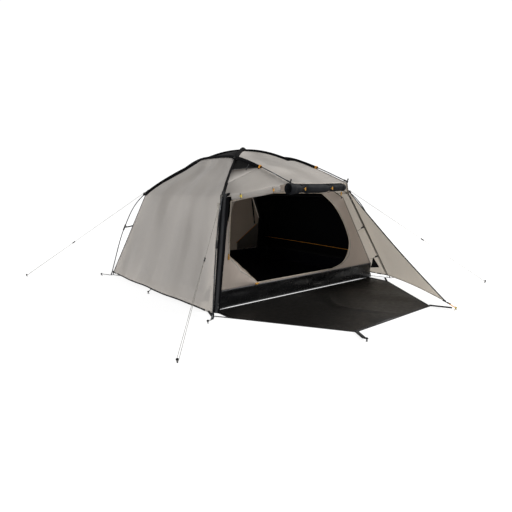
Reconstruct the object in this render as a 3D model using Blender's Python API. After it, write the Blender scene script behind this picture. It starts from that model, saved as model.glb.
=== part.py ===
"""Four-pole geodesic frame tent, pitched: poles, sleeved fly, inner tent, vestibules, guys and pegs.

The origin is on the ground under the middle of the floor.  +X runs along the front from its left
foot to its right foot, +Y goes to the back, +Z is up, and the open vestibule is on the -Y side.
The four pole feet are called A (back left), B (front left), C (front right) and D (back right).
"""
import math

import bmesh
import bpy
import numpy as np
from mathutils import Matrix, Vector

# --- driving dimensions, in metres -----------------------------------------------------------
FOOT_X = 1.150            # pole foot to the middle, across
FOOT_Y = 1.109            # pole foot to the middle, front to back
APEX_Z = 1.420
POLE_R = 0.00475
CROSSING = 0.010          # half the height between two pole lines at the apex

# Half of a main pole: share of the way from the middle to the foot, and height of its centreline.
HUB_T, SLEEVE_T, CLIP_T = 0.318, 0.710, 0.876
MAIN_PROFILE = ((0.0, APEX_Z), (HUB_T, 1.293), (SLEEVE_T, 0.950), (CLIP_T, 0.570), (1.0, 0.006))

RIDGE_X = 0.363           # ridge poles run front to back at x = -RIDGE_X and +RIDGE_X
RIDGE_TIP_Y = 1.150
# Half of a ridge pole: distance from the middle and height of its centreline.
RIDGE_PROFILE = ((0.0, 1.330), (0.353, 1.313), (0.740, 1.207), (RIDGE_TIP_Y, 1.060))

SLEEVE_IN, SLEEVE_WALL = 0.0060, 0.0015
SKIN = 0.0025             # thickness of a fly panel
SKIN_DROP = 0.0150        # fly skin under the pole centrelines
SEAM_GAP = 0.009          # fly panel edge to the pole's plane
HEM_Z = 0.035
CORNER_T = 0.985          # fly corner, as a share of the way to the pole foot

VESTIBULE = (0.570, 2.205)     # outer corner of a vestibule's outline, across and out
VESTIBULE_PEGS = {"front_peg_left": (-0.626, -2.205), "front_peg_right": (0.524, -2.203),
                  "rear_peg_left": (-0.610, 2.215), "rear_peg_right": (0.610, 2.215)}
TUB_X, TUB_Y, TUB_H = 1.075, 0.910, 0.155
TUB_LEAN = 0.150          # inward lean of the inner walls, metres per metre of height
WALL = 0.003
WALL_SHOULDER, WALL_PEAK = 0.885, 1.080   # top of the inner's walls, at the ends and the middle
PEAK_X = 0.340

GUY_R = 0.0016
GUY_STAND_OFF = 0.014     # guyline's top end, out from the pole's centreline
GUY_FEET = {"a": (-1.930, 1.717), "b": (-1.775, -1.705), "c": (1.703, -1.874), "d": (1.800, 1.760)}
TENSIONER_SHARE = {"a": 0.595, "b": 0.480, "c": 0.550, "d": 0.550}
CORNERS = {"a": (-1, 1), "b": (-1, -1), "c": (1, -1), "d": (1, 1)}
PEG_LENGTH, PEG_HEAD_Z, PEG_LEAN = 0.180, 0.030, 0.30
CORNER_LOOP = (0.090, 0.075)   # corner peg, out from the pole foot along X and Y

GROUNDSHEET = ((-1.02, -0.945), (-1.03, -1.18), (-0.53, -2.03), (0.47, -2.00), (1.01, -1.17),
               (1.02, -0.940))

COLOURS = {
    "fly_grey": ((0.50, 0.47, 0.44), 0.75, 0.0),
    "fly_slate": ((0.035, 0.040, 0.048), 0.75, 0.0),
    "black_fabric": ((0.012, 0.012, 0.014), 0.80, 0.0),
    "inner_beige": ((0.42, 0.36, 0.30), 0.85, 0.0),
    "tub_black": ((0.010, 0.010, 0.012), 0.55, 0.0),
    "pole_black": ((0.020, 0.020, 0.022), 0.35, 0.6),
    "plastic_black": ((0.015, 0.015, 0.016), 0.45, 0.0),
    "orange_trim": ((0.60, 0.27, 0.04), 0.60, 0.0),
    "guyline": ((0.25, 0.24, 0.22), 0.80, 0.0),
    "peg_alloy": ((0.30, 0.27, 0.14), 0.35, 0.9),
}


# --- general helpers -------------------------------------------------------------------------
def clear_scene():
    for obj in list(bpy.data.objects):
        bpy.data.objects.remove(obj, do_unlink=True)


def make_materials():
    made = {}
    for name, (rgb, roughness, metallic) in COLOURS.items():
        mat = bpy.data.materials.new(name)
        mat.use_nodes = True
        bsdf = mat.node_tree.nodes["Principled BSDF"]
        bsdf.inputs["Base Color"].default_value = (*rgb, 1.0)
        bsdf.inputs["Roughness"].default_value = roughness
        bsdf.inputs["Metallic"].default_value = metallic
        made[name] = mat
    return made


def link(obj, material):
    bpy.context.scene.collection.objects.link(obj)
    obj.data.materials.append(MATERIALS[material])
    return obj


def mesh_object(name, bm, material, smooth=False):
    """Turn a bmesh into an object with its faces pointing out."""
    bmesh.ops.recalc_face_normals(bm, faces=bm.faces)
    mesh = bpy.data.meshes.new(name)
    bm.to_mesh(mesh)
    bm.free()
    if smooth:
        mesh.shade_smooth()
    return link(bpy.data.objects.new(name, mesh), material)


def curve_object(name, points, radius, material, capped=True, resolution=2):
    """A round tube of this radius along the points."""
    curve = bpy.data.curves.new(name, "CURVE")
    curve.dimensions = "3D"
    curve.bevel_depth = radius
    curve.bevel_resolution = resolution
    curve.use_fill_caps = capped
    spline = curve.splines.new("POLY")
    spline.points.add(len(points) - 1)
    for slot, point in zip(spline.points, points):
        slot.co = (*point, 1.0)
    return link(bpy.data.objects.new(name, curve), material)


def hollow_tube(name, points, inner, wall, material):
    """An open tube with a wall: a pole sleeve, or the barrel of a line tensioner."""
    obj = curve_object(name, points, inner, material, capped=False)
    solid = obj.modifiers.new("wall", "SOLIDIFY")
    solid.thickness = wall
    solid.offset = 1.0
    return obj


def sheet(name, rows, thickness, material):
    """A thin solid on a grid of points; its skin grows inward from the grid."""
    bm = bmesh.new()
    grid = [[bm.verts.new(p) for p in row] for row in rows]
    for upper, lower in zip(grid, grid[1:]):
        for i in range(len(upper) - 1):
            bm.faces.new((upper[i], upper[i + 1], lower[i + 1], lower[i]))
    mesh = bpy.data.meshes.new(name)
    bm.to_mesh(mesh)
    bm.free()
    mesh.shade_smooth()
    obj = link(bpy.data.objects.new(name, mesh), material)
    solid = obj.modifiers.new("thickness", "SOLIDIFY")
    solid.thickness = thickness
    solid.offset = 0.0
    return obj


def slab(name, outline, normal, thickness, material):
    """A flat plate: a closed outline grown by this thickness along the normal."""
    bm = bmesh.new()
    face = bm.faces.new([bm.verts.new(p) for p in outline])
    grown = bmesh.ops.extrude_face_region(bm, geom=[face])
    moved = [v for v in grown["geom"] if isinstance(v, bmesh.types.BMVert)]
    bmesh.ops.translate(bm, verts=moved, vec=Vector(normal).normalized() * thickness)
    return mesh_object(name, bm, material)


def box(name, size, centre, material, turn=None):
    """A block with slightly rounded edges, turned about its centre by a matrix."""
    bm = bmesh.new()
    bmesh.ops.create_cube(bm, size=1.0)
    bmesh.ops.scale(bm, vec=size, verts=bm.verts)
    bmesh.ops.bevel(bm, geom=list(bm.edges), offset=min(size) * 0.2, segments=1, affect="EDGES")
    obj = mesh_object(name, bm, material)
    obj.matrix_world = Matrix.Translation(centre) @ (turn or Matrix()).to_4x4()
    return obj


def turned(name, profile, material, sides=8):
    """A solid of revolution about Z from (radius, height) pairs, top to bottom, ends at radius 0."""
    bm = bmesh.new()
    rings = []
    for radius, z in profile:
        if radius == 0.0:
            rings.append([bm.verts.new((0, 0, z))])
        else:
            turns = [2 * math.pi * i / sides for i in range(sides)]
            rings.append([bm.verts.new((radius * math.cos(a), radius * math.sin(a), z)) for a in turns])
    for upper, lower in zip(rings, rings[1:]):
        for i in range(sides):
            j = (i + 1) % sides
            corners = [upper[i % len(upper)], upper[j % len(upper)], lower[j % len(lower)],
                       lower[i % len(lower)]]
            bm.faces.new(list(dict.fromkeys(corners)))
    return mesh_object(name, bm, material, smooth=True)


def lerp(a, b, share):
    return Vector(a) + (Vector(b) - Vector(a)) * share


def axis_frame(direction, side=Vector((0, 0, 1))):
    """A turn whose X runs along the direction and whose Z is as near as it can be to side."""
    x = Vector(direction).normalized()
    y = Vector(side).cross(x).normalized()
    return Matrix((x, y, x.cross(y))).transposed()


# --- the lines that the tent hangs on --------------------------------------------------------
def smooth_curve(points, steps):
    """Catmull-Rom curve through the points, with this many steps between neighbours."""
    pts = [np.array(p, float) for p in points]
    pts = [2 * pts[0] - pts[1], *pts, 2 * pts[-1] - pts[-2]]
    out = []
    for p0, p1, p2, p3 in zip(pts, pts[1:], pts[2:], pts[3:]):
        for s in np.arange(steps) / steps:
            out.append(0.5 * (2 * p1 + (p2 - p0) * s + (2 * p0 - 5 * p1 + 4 * p2 - p3) * s * s
                              + (3 * p1 - p0 - 3 * p2 + p3) * s ** 3))
    out.append(pts[-2])
    return out


PROFILE_STEPS = 4
_mirrored = [(-t, z) for t, z in reversed(MAIN_PROFILE[1:])] + list(MAIN_PROFILE)
POLE_LINE = smooth_curve(_mirrored, PROFILE_STEPS)
_half = POLE_LINE[len(POLE_LINE) // 2:]
RIDGE_LINE = smooth_curve([(-y, z) for y, z in reversed(RIDGE_PROFILE[1:])] + list(RIDGE_PROFILE),
                          PROFILE_STEPS)
_ridge_half = RIDGE_LINE[len(RIDGE_LINE) // 2:]


def main_z(t):
    """Height of a main pole's centreline at this share of the way to its foot."""
    return float(np.interp(abs(t), [p[0] for p in _half], [p[1] for p in _half]))


def ridge_z(y):
    return float(np.interp(abs(y), [p[0] for p in _ridge_half], [p[1] for p in _ridge_half]))


def slope_drop(fall):
    """Vertical drop that leaves the skin SKIN_DROP off a line of this slope."""
    return SKIN_DROP * math.sqrt(1.0 + fall * fall)


def skin_z(t):
    """Height of the fly skin beside a main pole."""
    span = math.hypot(FOOT_X, FOOT_Y)
    fall = (main_z(t + 0.02) - main_z(t - 0.02)) / (0.04 * span)
    return main_z(t) - slope_drop(fall)


def ridge_skin_z(y):
    return ridge_z(y) - slope_drop((ridge_z(y + 0.03) - ridge_z(y - 0.03)) / 0.06)


def seam_point(corner, t, towards):
    """A point of the fly skin beside a main pole, on its side panel or on its roof panel.

    towards is "x" for the side panels, left and right, or "y" for the front and back ones.
    """
    sx, sy = CORNERS[corner]
    across = Vector((sx * FOOT_Y, -sy * FOOT_X, 0)).normalized()
    if towards == "y":
        across = -across
    return Vector((sx * FOOT_X * t, sy * FOOT_Y * t, skin_z(t))) + across * SEAM_GAP


def corner_hem(corner, towards):
    sx, sy = CORNERS[corner]
    across = Vector((sx * FOOT_Y, -sy * FOOT_X, 0)).normalized() * (1 if towards == "x" else -1)
    return Vector((sx * FOOT_X * CORNER_T, sy * FOOT_Y * CORNER_T, HEM_Z)) + across * SEAM_GAP


# --- poles and sleeves -----------------------------------------------------------------------
def build_main_pole(name, first, last, lift):
    """A pole from one foot over the apex to the foot opposite, and its sleeve."""
    sx, sy = CORNERS[last]
    line = []
    for t, z in POLE_LINE:
        near_apex = math.exp(-(t / HUB_T) ** 2 * 4.0)
        line.append((sx * FOOT_X * t, sy * FOOT_Y * t, z + lift * near_apex))
    curve_object(f"main_pole_{name}", line, POLE_R, "pole_black")
    sleeved = line[2 * PROFILE_STEPS:-2 * PROFILE_STEPS]
    hollow_tube(f"main_sleeve_{name}", sleeved, SLEEVE_IN, SLEEVE_WALL, "black_fabric")


def build_ridge_pole(name, side):
    line = [(side * RIDGE_X, y, z) for y, z in RIDGE_LINE]
    curve_object(f"ridge_pole_{name}", line, POLE_R, "pole_black")
    sleeved = line[PROFILE_STEPS:-PROFILE_STEPS]
    hollow_tube(f"ridge_sleeve_{name}", sleeved, SLEEVE_IN, SLEEVE_WALL, "black_fabric")


# --- fly sheet -------------------------------------------------------------------------------
def side_rows(side):
    """Side panel: under a ridge pole, between two main poles, straight from the sleeves to the hem."""
    back, front = ("a", "b") if side < 0 else ("d", "c")
    rows = []
    for t in (0.338, 0.45, 0.58, SLEEVE_T):
        a, b = seam_point(back, t, "x"), seam_point(front, t, "x")
        rows.append([a, b])
    a0, b0 = rows[-1]
    a1, b1 = corner_hem(back, "x"), corner_hem(front, "x")
    rows += [[lerp(a0, a1, s), lerp(b0, b1, s)] for s in (0.33, 0.66, 1.0)]
    grid = []
    for index, (a, b) in enumerate(rows):
        row = [lerp(a, b, s) for s in (0.0, 0.25, 0.5, 0.75, 1.0)]
        for point, bulge in zip(row, (0.0, 0.75, 1.0, 0.75, 0.0)):
            if index == 0:
                point.z += bulge * (ridge_skin_z(0) - row[0].z - 0.004)
            elif index == len(rows) - 1:
                point.x += side * bulge * 0.012
            else:
                point.x -= side * bulge * 0.012
        grid.append(row)
    return grid


def peak_rows(side):
    """Small panel between the apex and a ridge pole."""
    back, front = ("a", "b") if side < 0 else ("d", "c")
    grid = []
    for t in (0.06, 0.14, 0.22, 0.295):
        a, b = seam_point(back, t, "x"), seam_point(front, t, "x")
        row = [lerp(a, b, s) for s in (0.0, 0.25, 0.5, 0.75, 1.0)]
        lift = (ridge_skin_z(0) - skin_z(HUB_T)) * (t / HUB_T) ** 3
        for point, bulge in zip(row, (0.0, 0.75, 1.0, 0.75, 0.0)):
            point.z += bulge * lift
        grid.append(row)
    return grid


def brow_edge(side, end, share):
    """A point of the fly's brow edge, from the sleeve's end (0) to the ridge pole's tip (1)."""
    corner = {(-1, 1): "a", (-1, -1): "b", (1, -1): "c", (1, 1): "d"}[(side, end)]
    tip_y = RIDGE_TIP_Y - 0.015
    tip = Vector((side * (RIDGE_X + 0.014), end * tip_y, ridge_skin_z(tip_y)))
    return lerp(seam_point(corner, SLEEVE_T, "y"), tip, share)


def roof_rows(end):
    """Front (-1) or back (+1) roof: from the apex to the brow, over both ridge poles."""
    left, right = ("b", "c") if end < 0 else ("a", "d")
    grid = []
    for t in (0.060, 0.190, 0.300, 0.430, 0.570, SLEEVE_T):
        outer = [seam_point(left, t, "y"), seam_point(right, t, "y")]
        y = outer[0].y
        if t < HUB_T:
            inner = [lerp(*outer, s) for s in (0.12, 0.25, 0.5, 0.75, 0.88)]
        else:
            z = ridge_skin_z(y)
            ridge = [Vector((-RIDGE_X, y, z)), Vector((0, y, z - 0.006)), Vector((RIDGE_X, y, z))]
            inner = [lerp(outer[0], ridge[0], 0.5), *ridge, lerp(outer[1], ridge[2], 0.5)]
        grid.append([outer[0], *inner, outer[1]])
    for share in (0.36, 0.70, 0.97):
        outer = [brow_edge(-1, end, share), brow_edge(1, end, share)]
        y = outer[0].y
        z = ridge_skin_z(y)
        ridge = [Vector((-RIDGE_X, y, z)), Vector((0, y, z - 0.006)), Vector((RIDGE_X, y, z))]
        grid.append([outer[0], lerp(outer[0], ridge[0], 0.5), *ridge, lerp(outer[1], ridge[2], 0.5),
                     outer[1]])
    return grid


def build_fly():
    for name, side in (("left", -1), ("right", 1)):
        sheet(f"fly_side_{name}", side_rows(side), SKIN, "fly_grey")
        sheet(f"fly_peak_{name}", peak_rows(side), SKIN, "black_fabric")
    sheet("fly_roof_front", roof_rows(-1), SKIN, "fly_grey")
    sheet("fly_roof_rear", roof_rows(1), SKIN, "fly_grey")


# --- vestibules ------------------------------------------------------------------------------
BROW_CLEAR = Vector((0, 0, -0.012))


def rear_vestibule_rows():
    """Closed back vestibule, from the brow down to its two pegs."""
    out_x, out_y = VESTIBULE
    top = [brow_edge(-1, 1, 0.02), brow_edge(-1, 1, 0.5), brow_edge(-1, 1, 1.0)]
    top += [Vector((-p.x, p.y, p.z)) for p in reversed(top)]
    foot_a = corner_hem("a", "y")
    peg = Vector((-out_x + 0.06, out_y - 0.07, HEM_Z))
    low = [foot_a, lerp(foot_a, peg, 0.5), peg]
    low += [Vector((-p.x, p.y, p.z)) for p in reversed(low)]
    out = Vector((0, 0.014, -0.010))
    grid = []
    for s in (0.0, 0.25, 0.5, 0.75, 1.0):
        sag = 0.035 * 4 * s * (1 - s)
        grid.append([lerp(a + out, b, s) + Vector((0, -sag, 0)) for a, b in zip(top, low)])
    return grid


def wing_rows():
    """Right wing of the open front vestibule; its last column is the free, zipped edge."""
    top = [brow_edge(1, -1, s) + BROW_CLEAR + Vector((0, -0.014, 0)) for s in (0.0, 0.10, 0.19, 0.28)]
    foot = corner_hem("c", "y") + Vector((0, -0.004, 0))
    peg = Vector((VESTIBULE[0] - 0.067, -VESTIBULE[1] + 0.080, 0.060))
    low = [lerp(foot, peg, s) + Vector((0, 0, 0.015 * math.sin(math.pi * s)))
           for s in (0.0, 0.35, 0.68, 1.0)]
    hang = (foot - peg).normalized()
    grid = []
    for s in (0.0, 0.2, 0.4, 0.6, 0.8, 1.0):
        sag = 0.058 * 4 * s * (1 - s)
        grid.append([lerp(a, b, s) + hang * sag * share
                     for a, b, share in zip(top, low, (0.0, 0.3, 0.65, 1.0))])
    return grid


def flap_rows():
    """Zipped strip of the left wing that stays on the corner seam when the wing is rolled up."""
    top = brow_edge(-1, -1, 0.03) + Vector((0, -0.014, -0.012))
    foot = corner_hem("b", "y") + Vector((0, -0.004, 0.012))
    along_brow = (brow_edge(-1, -1, 1.0) - top).normalized() * 0.050
    towards_peg = (Vector((-VESTIBULE[0], -VESTIBULE[1], HEM_Z)) - foot).normalized() * 0.052
    return [[lerp(top, foot, s), lerp(top + along_brow, foot + towards_peg, s)]
            for s in (0.0, 0.34, 0.67, 1.0)]


WING_ROLL_R = 0.027
DOOR_ROLL_R = 0.042
DOOR_ROLL_X = (-0.415, 0.275)
TOGGLE_OFF = 0.007        # centre of a toggle off the surface of its roll
TOGGLE_SHARES = {"wing": (0.19, 0.86), "door": (0.215, 0.70)}


def wing_roll_line():
    a = brow_edge(-1, -1, 0.12) + Vector((-0.014, -0.040, -0.002))
    b = brow_edge(-1, -1, 0.86) + Vector((-0.014, -0.040, -0.022))
    return [lerp(a, b, s) + Vector((0, 0, -0.008 * 4 * s * (1 - s))) for s in np.linspace(0, 1, 9)]


def door_roll_line():
    y = -RIDGE_TIP_Y - 0.040
    z = ridge_skin_z(RIDGE_TIP_Y) - 0.038
    return [Vector((x, y, z - 0.006 * math.sin(math.pi * s)))
            for s, x in zip(np.linspace(0, 1, 9), np.linspace(*DOOR_ROLL_X, 9))]


def toggle_places():
    """Centre of each roll-up toggle, in front of its roll, and the way it faces."""
    rolls = {"wing": (wing_roll_line(), WING_ROLL_R, Vector((-0.63, -0.77, 0.0)).normalized()),
             "door": (door_roll_line(), DOOR_ROLL_R, Vector((0, -1, 0)))}
    places = {}
    for roll, (line, radius, facing) in rolls.items():
        for side, share in zip(("left", "right"), TOGGLE_SHARES[roll]):
            sag = line[4] - lerp(line[0], line[-1], 0.5)
            on_roll = lerp(line[0], line[-1], share) + sag * 4 * share * (1 - share)
            places[f"toggle_{roll}_{side}"] = (on_roll + facing * (radius + TOGGLE_OFF), facing)
    return places


def build_vestibules():
    sheet("rear_vestibule", rear_vestibule_rows(), SKIN, "fly_grey")
    sheet("front_wing", wing_rows(), SKIN, "fly_grey")
    sheet("zip_flap", flap_rows(), SKIN, "black_fabric")
    curve_object("wing_roll", wing_roll_line(), WING_ROLL_R, "fly_grey")
    curve_object("door_roll", door_roll_line(), DOOR_ROLL_R, "fly_slate")
    for name, (centre, facing) in toggle_places().items():
        box(name, (0.028, 0.009, 0.008), centre, "orange_trim",
            axis_frame(Vector((0, 0, 1)), facing))
    slab("groundsheet", [(x, y, 0.0) for x, y in GROUNDSHEET], (0, 0, 1), 0.002, "tub_black")


# --- inner tent ------------------------------------------------------------------------------
def lean(z):
    """How far the inner's front and back walls have come in at this height."""
    return TUB_LEAN * (z - TUB_H)


def wall_point(x, z, end):
    return Vector((x, end * (TUB_Y - lean(z)), z))


def end_half_width(z):
    """Half length of the inner's front wall at this height: it follows the fly's side panels in."""
    return TUB_X - 0.015 - (z - TUB_H) * 0.480


DOOR = {"left_low": (-0.815, 0.440), "left_top": (-0.738, 0.905), "top_right": (0.390, 0.945),
        "right": (0.742, 0.430), "low_right": (0.440, 0.172), "low_left": (-0.540, 0.172)}


def door_outline():
    """D shaped doorway in (x, z): straight left side and sill, a cut corner, a round right side."""
    round_side = smooth_curve((DOOR["top_right"], (0.559, 0.814), (0.682, 0.628), DOOR["right"],
                               (0.696, 0.303), (0.600, 0.215), DOOR["low_right"]), 2)
    return [DOOR["left_low"], DOOR["left_top"], (-0.250, 0.962), *[tuple(p) for p in round_side],
            DOOR["low_left"]]


def build_tub():
    bm = bmesh.new()
    levels = ((TUB_X, TUB_Y, 0.0), (TUB_X + 0.004, TUB_Y + 0.004, TUB_H),
              (TUB_X + 0.004 - WALL, TUB_Y + 0.004 - WALL, TUB_H), (TUB_X - WALL, TUB_Y - WALL, WALL))
    rings = []
    for half_x, half_y, z in levels:
        rings.append([bm.verts.new((sx * half_x, sy * half_y, z))
                      for sx, sy in ((-1, -1), (1, -1), (1, 1), (-1, 1))])
    for lower, upper in zip(rings, rings[1:]):
        for i in range(4):
            j = (i + 1) % 4
            bm.faces.new((lower[i], lower[j], upper[j], upper[i]))
    bm.faces.new(rings[0])
    bm.faces.new(rings[-1])
    mesh_object("inner_tub", bm, "tub_black")


def inner_wall_outline(end):
    low, high = TUB_H + 0.004, WALL_SHOULDER
    right = [(end_half_width(low), low), (end_half_width(high), high), (PEAK_X, WALL_PEAK)]
    left = [(-x, z) for x, z in reversed(right)]
    return [wall_point(x, z, end) for x, z in right + left]


def build_inner():
    build_tub()
    normal = Vector((0, 1, TUB_LEAN)).normalized()
    front = slab("inner_front_wall", inner_wall_outline(-1), Vector((0, 1, -TUB_LEAN)), WALL,
                 "inner_beige")
    deep = Vector((0, 0.05, 0))
    cutter = slab("doorway_cutter", [wall_point(x, z, -1) - deep for x, z in door_outline()],
                  (0, 1, 0), 0.10, "inner_beige")
    cutter.hide_render = True
    cutter.display_type = "WIRE"
    cut = front.modifiers.new("doorway", "BOOLEAN")
    cut.object = cutter
    cut.operation = "DIFFERENCE"
    cut.solver = "EXACT"
    slab("inner_rear_wall", inner_wall_outline(1), -normal, WALL, "inner_beige")
    for name, side in (("left", -1), ("right", 1)):
        low, high = TUB_H + 0.004, WALL_SHOULDER
        ends = []
        for z in (low, high):
            x = side * (end_half_width(z) + 0.008)
            y = TUB_Y - lean(z) - 0.006
            ends.append(((x, -y, z), (x, y, z)))
        outline = [ends[0][0], ends[0][1], ends[1][1], ends[1][0]]
        slab(f"inner_end_wall_{name}", outline, (side, 0, 0.48), WALL, "black_fabric")
    sheet("inner_roof", inner_roof_rows(), SKIN, "black_fabric")
    leaf = [(-0.770, -0.790, 0.390), (-0.700, -0.800, 0.270), (-0.610, -0.815, 0.150),
            (-0.500, -0.800, 0.062)]
    curve_object("inner_door_leaf", smooth_curve(leaf, 3), 0.034, "inner_beige")


def fly_height(x, y):
    """Height of the pole-borne roof line over a point of the plan."""
    tx, ty = abs(x) / FOOT_X, abs(y) / FOOT_Y
    if tx >= ty or ty < HUB_T:
        return main_z(max(tx, ty))
    if abs(x) <= RIDGE_X:
        return ridge_z(y)
    share = (abs(x) - RIDGE_X) / max(ty * FOOT_X - RIDGE_X, 1e-6)
    return ridge_z(y) + (main_z(ty) - ridge_z(y)) * min(share, 1.0)


def inner_roof_rows():
    """Inner roof: its rim stands on the four walls and its middle hangs below the fly."""
    half_x = end_half_width(WALL_SHOULDER) + 0.008
    shares = (-1.0, -0.72, -0.43, 0.0, 0.43, 0.72, 1.0)
    grid = []
    for v in shares:
        row = []
        for u in shares:
            x = u * half_x
            rise = min(1.0, (half_x - abs(x)) / (half_x - PEAK_X))
            rim = WALL_SHOULDER + (WALL_PEAK - WALL_SHOULDER) * rise + 0.008
            y = v * (TUB_Y - lean(WALL_SHOULDER if abs(u) == 1.0 else rim) - 0.004)
            on_rim = abs(u) == 1.0 or abs(v) == 1.0
            row.append(Vector((x, y, rim if on_rim else fly_height(x, y) - 0.070)))
        grid.append(row)
    return grid


# --- guys, tensioners and pegs ---------------------------------------------------------------
def sleeve_end(corner):
    """End of a main sleeve on the pole's centreline, and the way out square to the pole there."""
    sx, sy = CORNERS[corner]
    centre = Vector((sx * FOOT_X * SLEEVE_T, sy * FOOT_Y * SLEEVE_T, main_z(SLEEVE_T)))
    out = Vector((sx * FOOT_X, sy * FOOT_Y, 0))
    rise = main_z(SLEEVE_T + 0.02) - main_z(SLEEVE_T - 0.02)
    along = out * 0.04 + Vector((0, 0, rise))
    return centre, out.cross(along).cross(along).normalized() * -1.0


def guy_ends(corner):
    x, y = GUY_FEET[corner]
    low = Vector((x, y, PEG_HEAD_Z - 0.012))
    centre, out = sleeve_end(corner)
    top = centre + out * GUY_STAND_OFF
    along = (low - top).normalized()
    return top, low - along * 0.008


def build_guys():
    for corner in CORNERS:
        top, low = guy_ends(corner)
        line = [lerp(top, low, s) for s in np.linspace(0, 1, 9)]
        curve_object(f"guyline_{corner}", line, GUY_R, "guyline")
        along = (low - top).normalized()
        centre = lerp(top, low, TENSIONER_SHARE[corner])
        ends = [centre - along * 0.018, centre + along * 0.018]
        hollow_tube(f"tensioner_{corner}", ends, 0.0030, 0.0030, "plastic_black")


PEG_PROFILE = ((0.0, 0.0), (0.0085, -0.0015), (0.0085, -0.0065), (0.0036, -0.0085), (0.0034, -0.150),
               (0.0, -PEG_LENGTH))


def peg(name, x, y, outward):
    """A peg driven in so that its head leans away from the tent."""
    obj = turned(name, PEG_PROFILE, "peg_alloy")
    away = Vector((*outward, 0)).normalized()
    up = (Vector((0, 0, 1)) + away * PEG_LEAN).normalized()
    turn = Vector((0, 0, 1)).rotation_difference(up).to_matrix().to_4x4()
    obj.matrix_world = Matrix.Translation((x, y, PEG_HEAD_Z)) @ turn
    return obj


def build_pegs():
    for corner, (sx, sy) in CORNERS.items():
        x, y = GUY_FEET[corner]
        reach = Vector((x, y)).normalized() * 0.010
        peg(f"guy_peg_{corner}", x + reach.x, y + reach.y, (sx, sy))
        peg(f"corner_peg_{corner}", sx * (FOOT_X + CORNER_LOOP[0]),
            sy * (FOOT_Y + CORNER_LOOP[1]), (sx, sy))
    for side, sx in (("left", -1), ("right", 1)):
        peg(f"side_peg_{side}", sx * (FOOT_X + 0.045), -0.012, (sx, 0))
    for name, (x, y) in VESTIBULE_PEGS.items():
        peg(name, x, y, (x, y))


# --- small moving pieces ---------------------------------------------------------------------
def fly_zip_track():
    """The zip on the flap beside pole foot B: its bottom, its direction and the way it faces."""
    top, low = flap_rows()[0], flap_rows()[-1]
    along = (lerp(*top, 0.5) - lerp(*low, 0.5)).normalized()
    facing = along.cross(low[1] - low[0] + top[1] - top[0]).normalized()
    if facing.y > 0:
        facing = -facing
    return lerp(*low, 0.5), along, facing


def inner_zip_tracks():
    """The two ends of the doorway's zip: start, direction and the way they face."""
    facing = Vector((0, -1, TUB_LEAN)).normalized()
    low, top = wall_point(*DOOR["left_low"], -1), wall_point(*DOOR["left_top"], -1)
    side = low + Vector((-0.009, 0, 0)) + facing * 0.0045
    sill = wall_point(*DOOR["low_left"], -1) + Vector((0, 0, -0.007)) + facing * 0.0045
    return {"inner_zip_slider_side": (side, (top - low).normalized(), facing),
            "inner_zip_slider_sill": (sill, Vector((1, 0, 0)), facing)}


def buckle_track():
    tip = wing_rows()[-1][-1]
    return tip, (Vector((*VESTIBULE_PEGS["front_peg_right"], PEG_HEAD_Z)) - tip).normalized()


PROP_X, PROP_Y = -0.465, -0.660
PROP_LENGTH, PROP_RISE = 0.065, math.radians(36)


def vent_prop_place():
    """Hinge of the strut that holds the roof vent open, its direction, and its hinge axis."""
    edge = seam_point("b", -PROP_Y / FOOT_Y, "y")
    ridge = Vector((-RIDGE_X, PROP_Y, ridge_skin_z(PROP_Y)))
    up_slope = (ridge - edge).normalized()
    surface = lerp(edge, ridge, (PROP_X - edge.x) / (ridge.x - edge.x))
    down_roof = Vector((0, -1, (ridge_z(PROP_Y - 0.05) - ridge_z(PROP_Y)) / 0.05))
    normal = down_roof.cross(up_slope).normalized()
    reach = up_slope * math.cos(PROP_RISE) + normal * math.sin(PROP_RISE)
    return surface + normal * 0.011, reach, normal.cross(up_slope).normalized()


def build_small_parts():
    start, along, facing = fly_zip_track()
    box("fly_zip_slider", (0.026, 0.009, 0.005), start + along * 0.075 + facing * 0.0075,
        "plastic_black", axis_frame(along, facing))
    for name, (start, along, facing) in inner_zip_tracks().items():
        box(name, (0.026, 0.009, 0.005), start + along * 0.014, "orange_trim",
            axis_frame(along, facing))
    tip, strap = buckle_track()
    box("wing_buckle", (0.034, 0.024, 0.007), tip + strap * 0.024, "plastic_black", axis_frame(strap))
    hinge, reach, axis = vent_prop_place()
    box("vent_prop", (PROP_LENGTH, 0.010, 0.004), hinge + reach * PROP_LENGTH / 2, "plastic_black",
        axis_frame(reach, reach.cross(axis)))


def build_all():
    build_main_pole("one", "a", "c", -CROSSING)
    build_main_pole("two", "b", "d", CROSSING)
    build_ridge_pole("left", -1)
    build_ridge_pole("right", 1)
    build_fly()
    build_vestibules()
    build_inner()
    build_guys()
    build_pegs()
    build_small_parts()


clear_scene()
MATERIALS = make_materials()
build_all()
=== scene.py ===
import math

import bmesh
import bpy
import numpy as np
from mathutils import Matrix, Vector, noise


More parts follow.
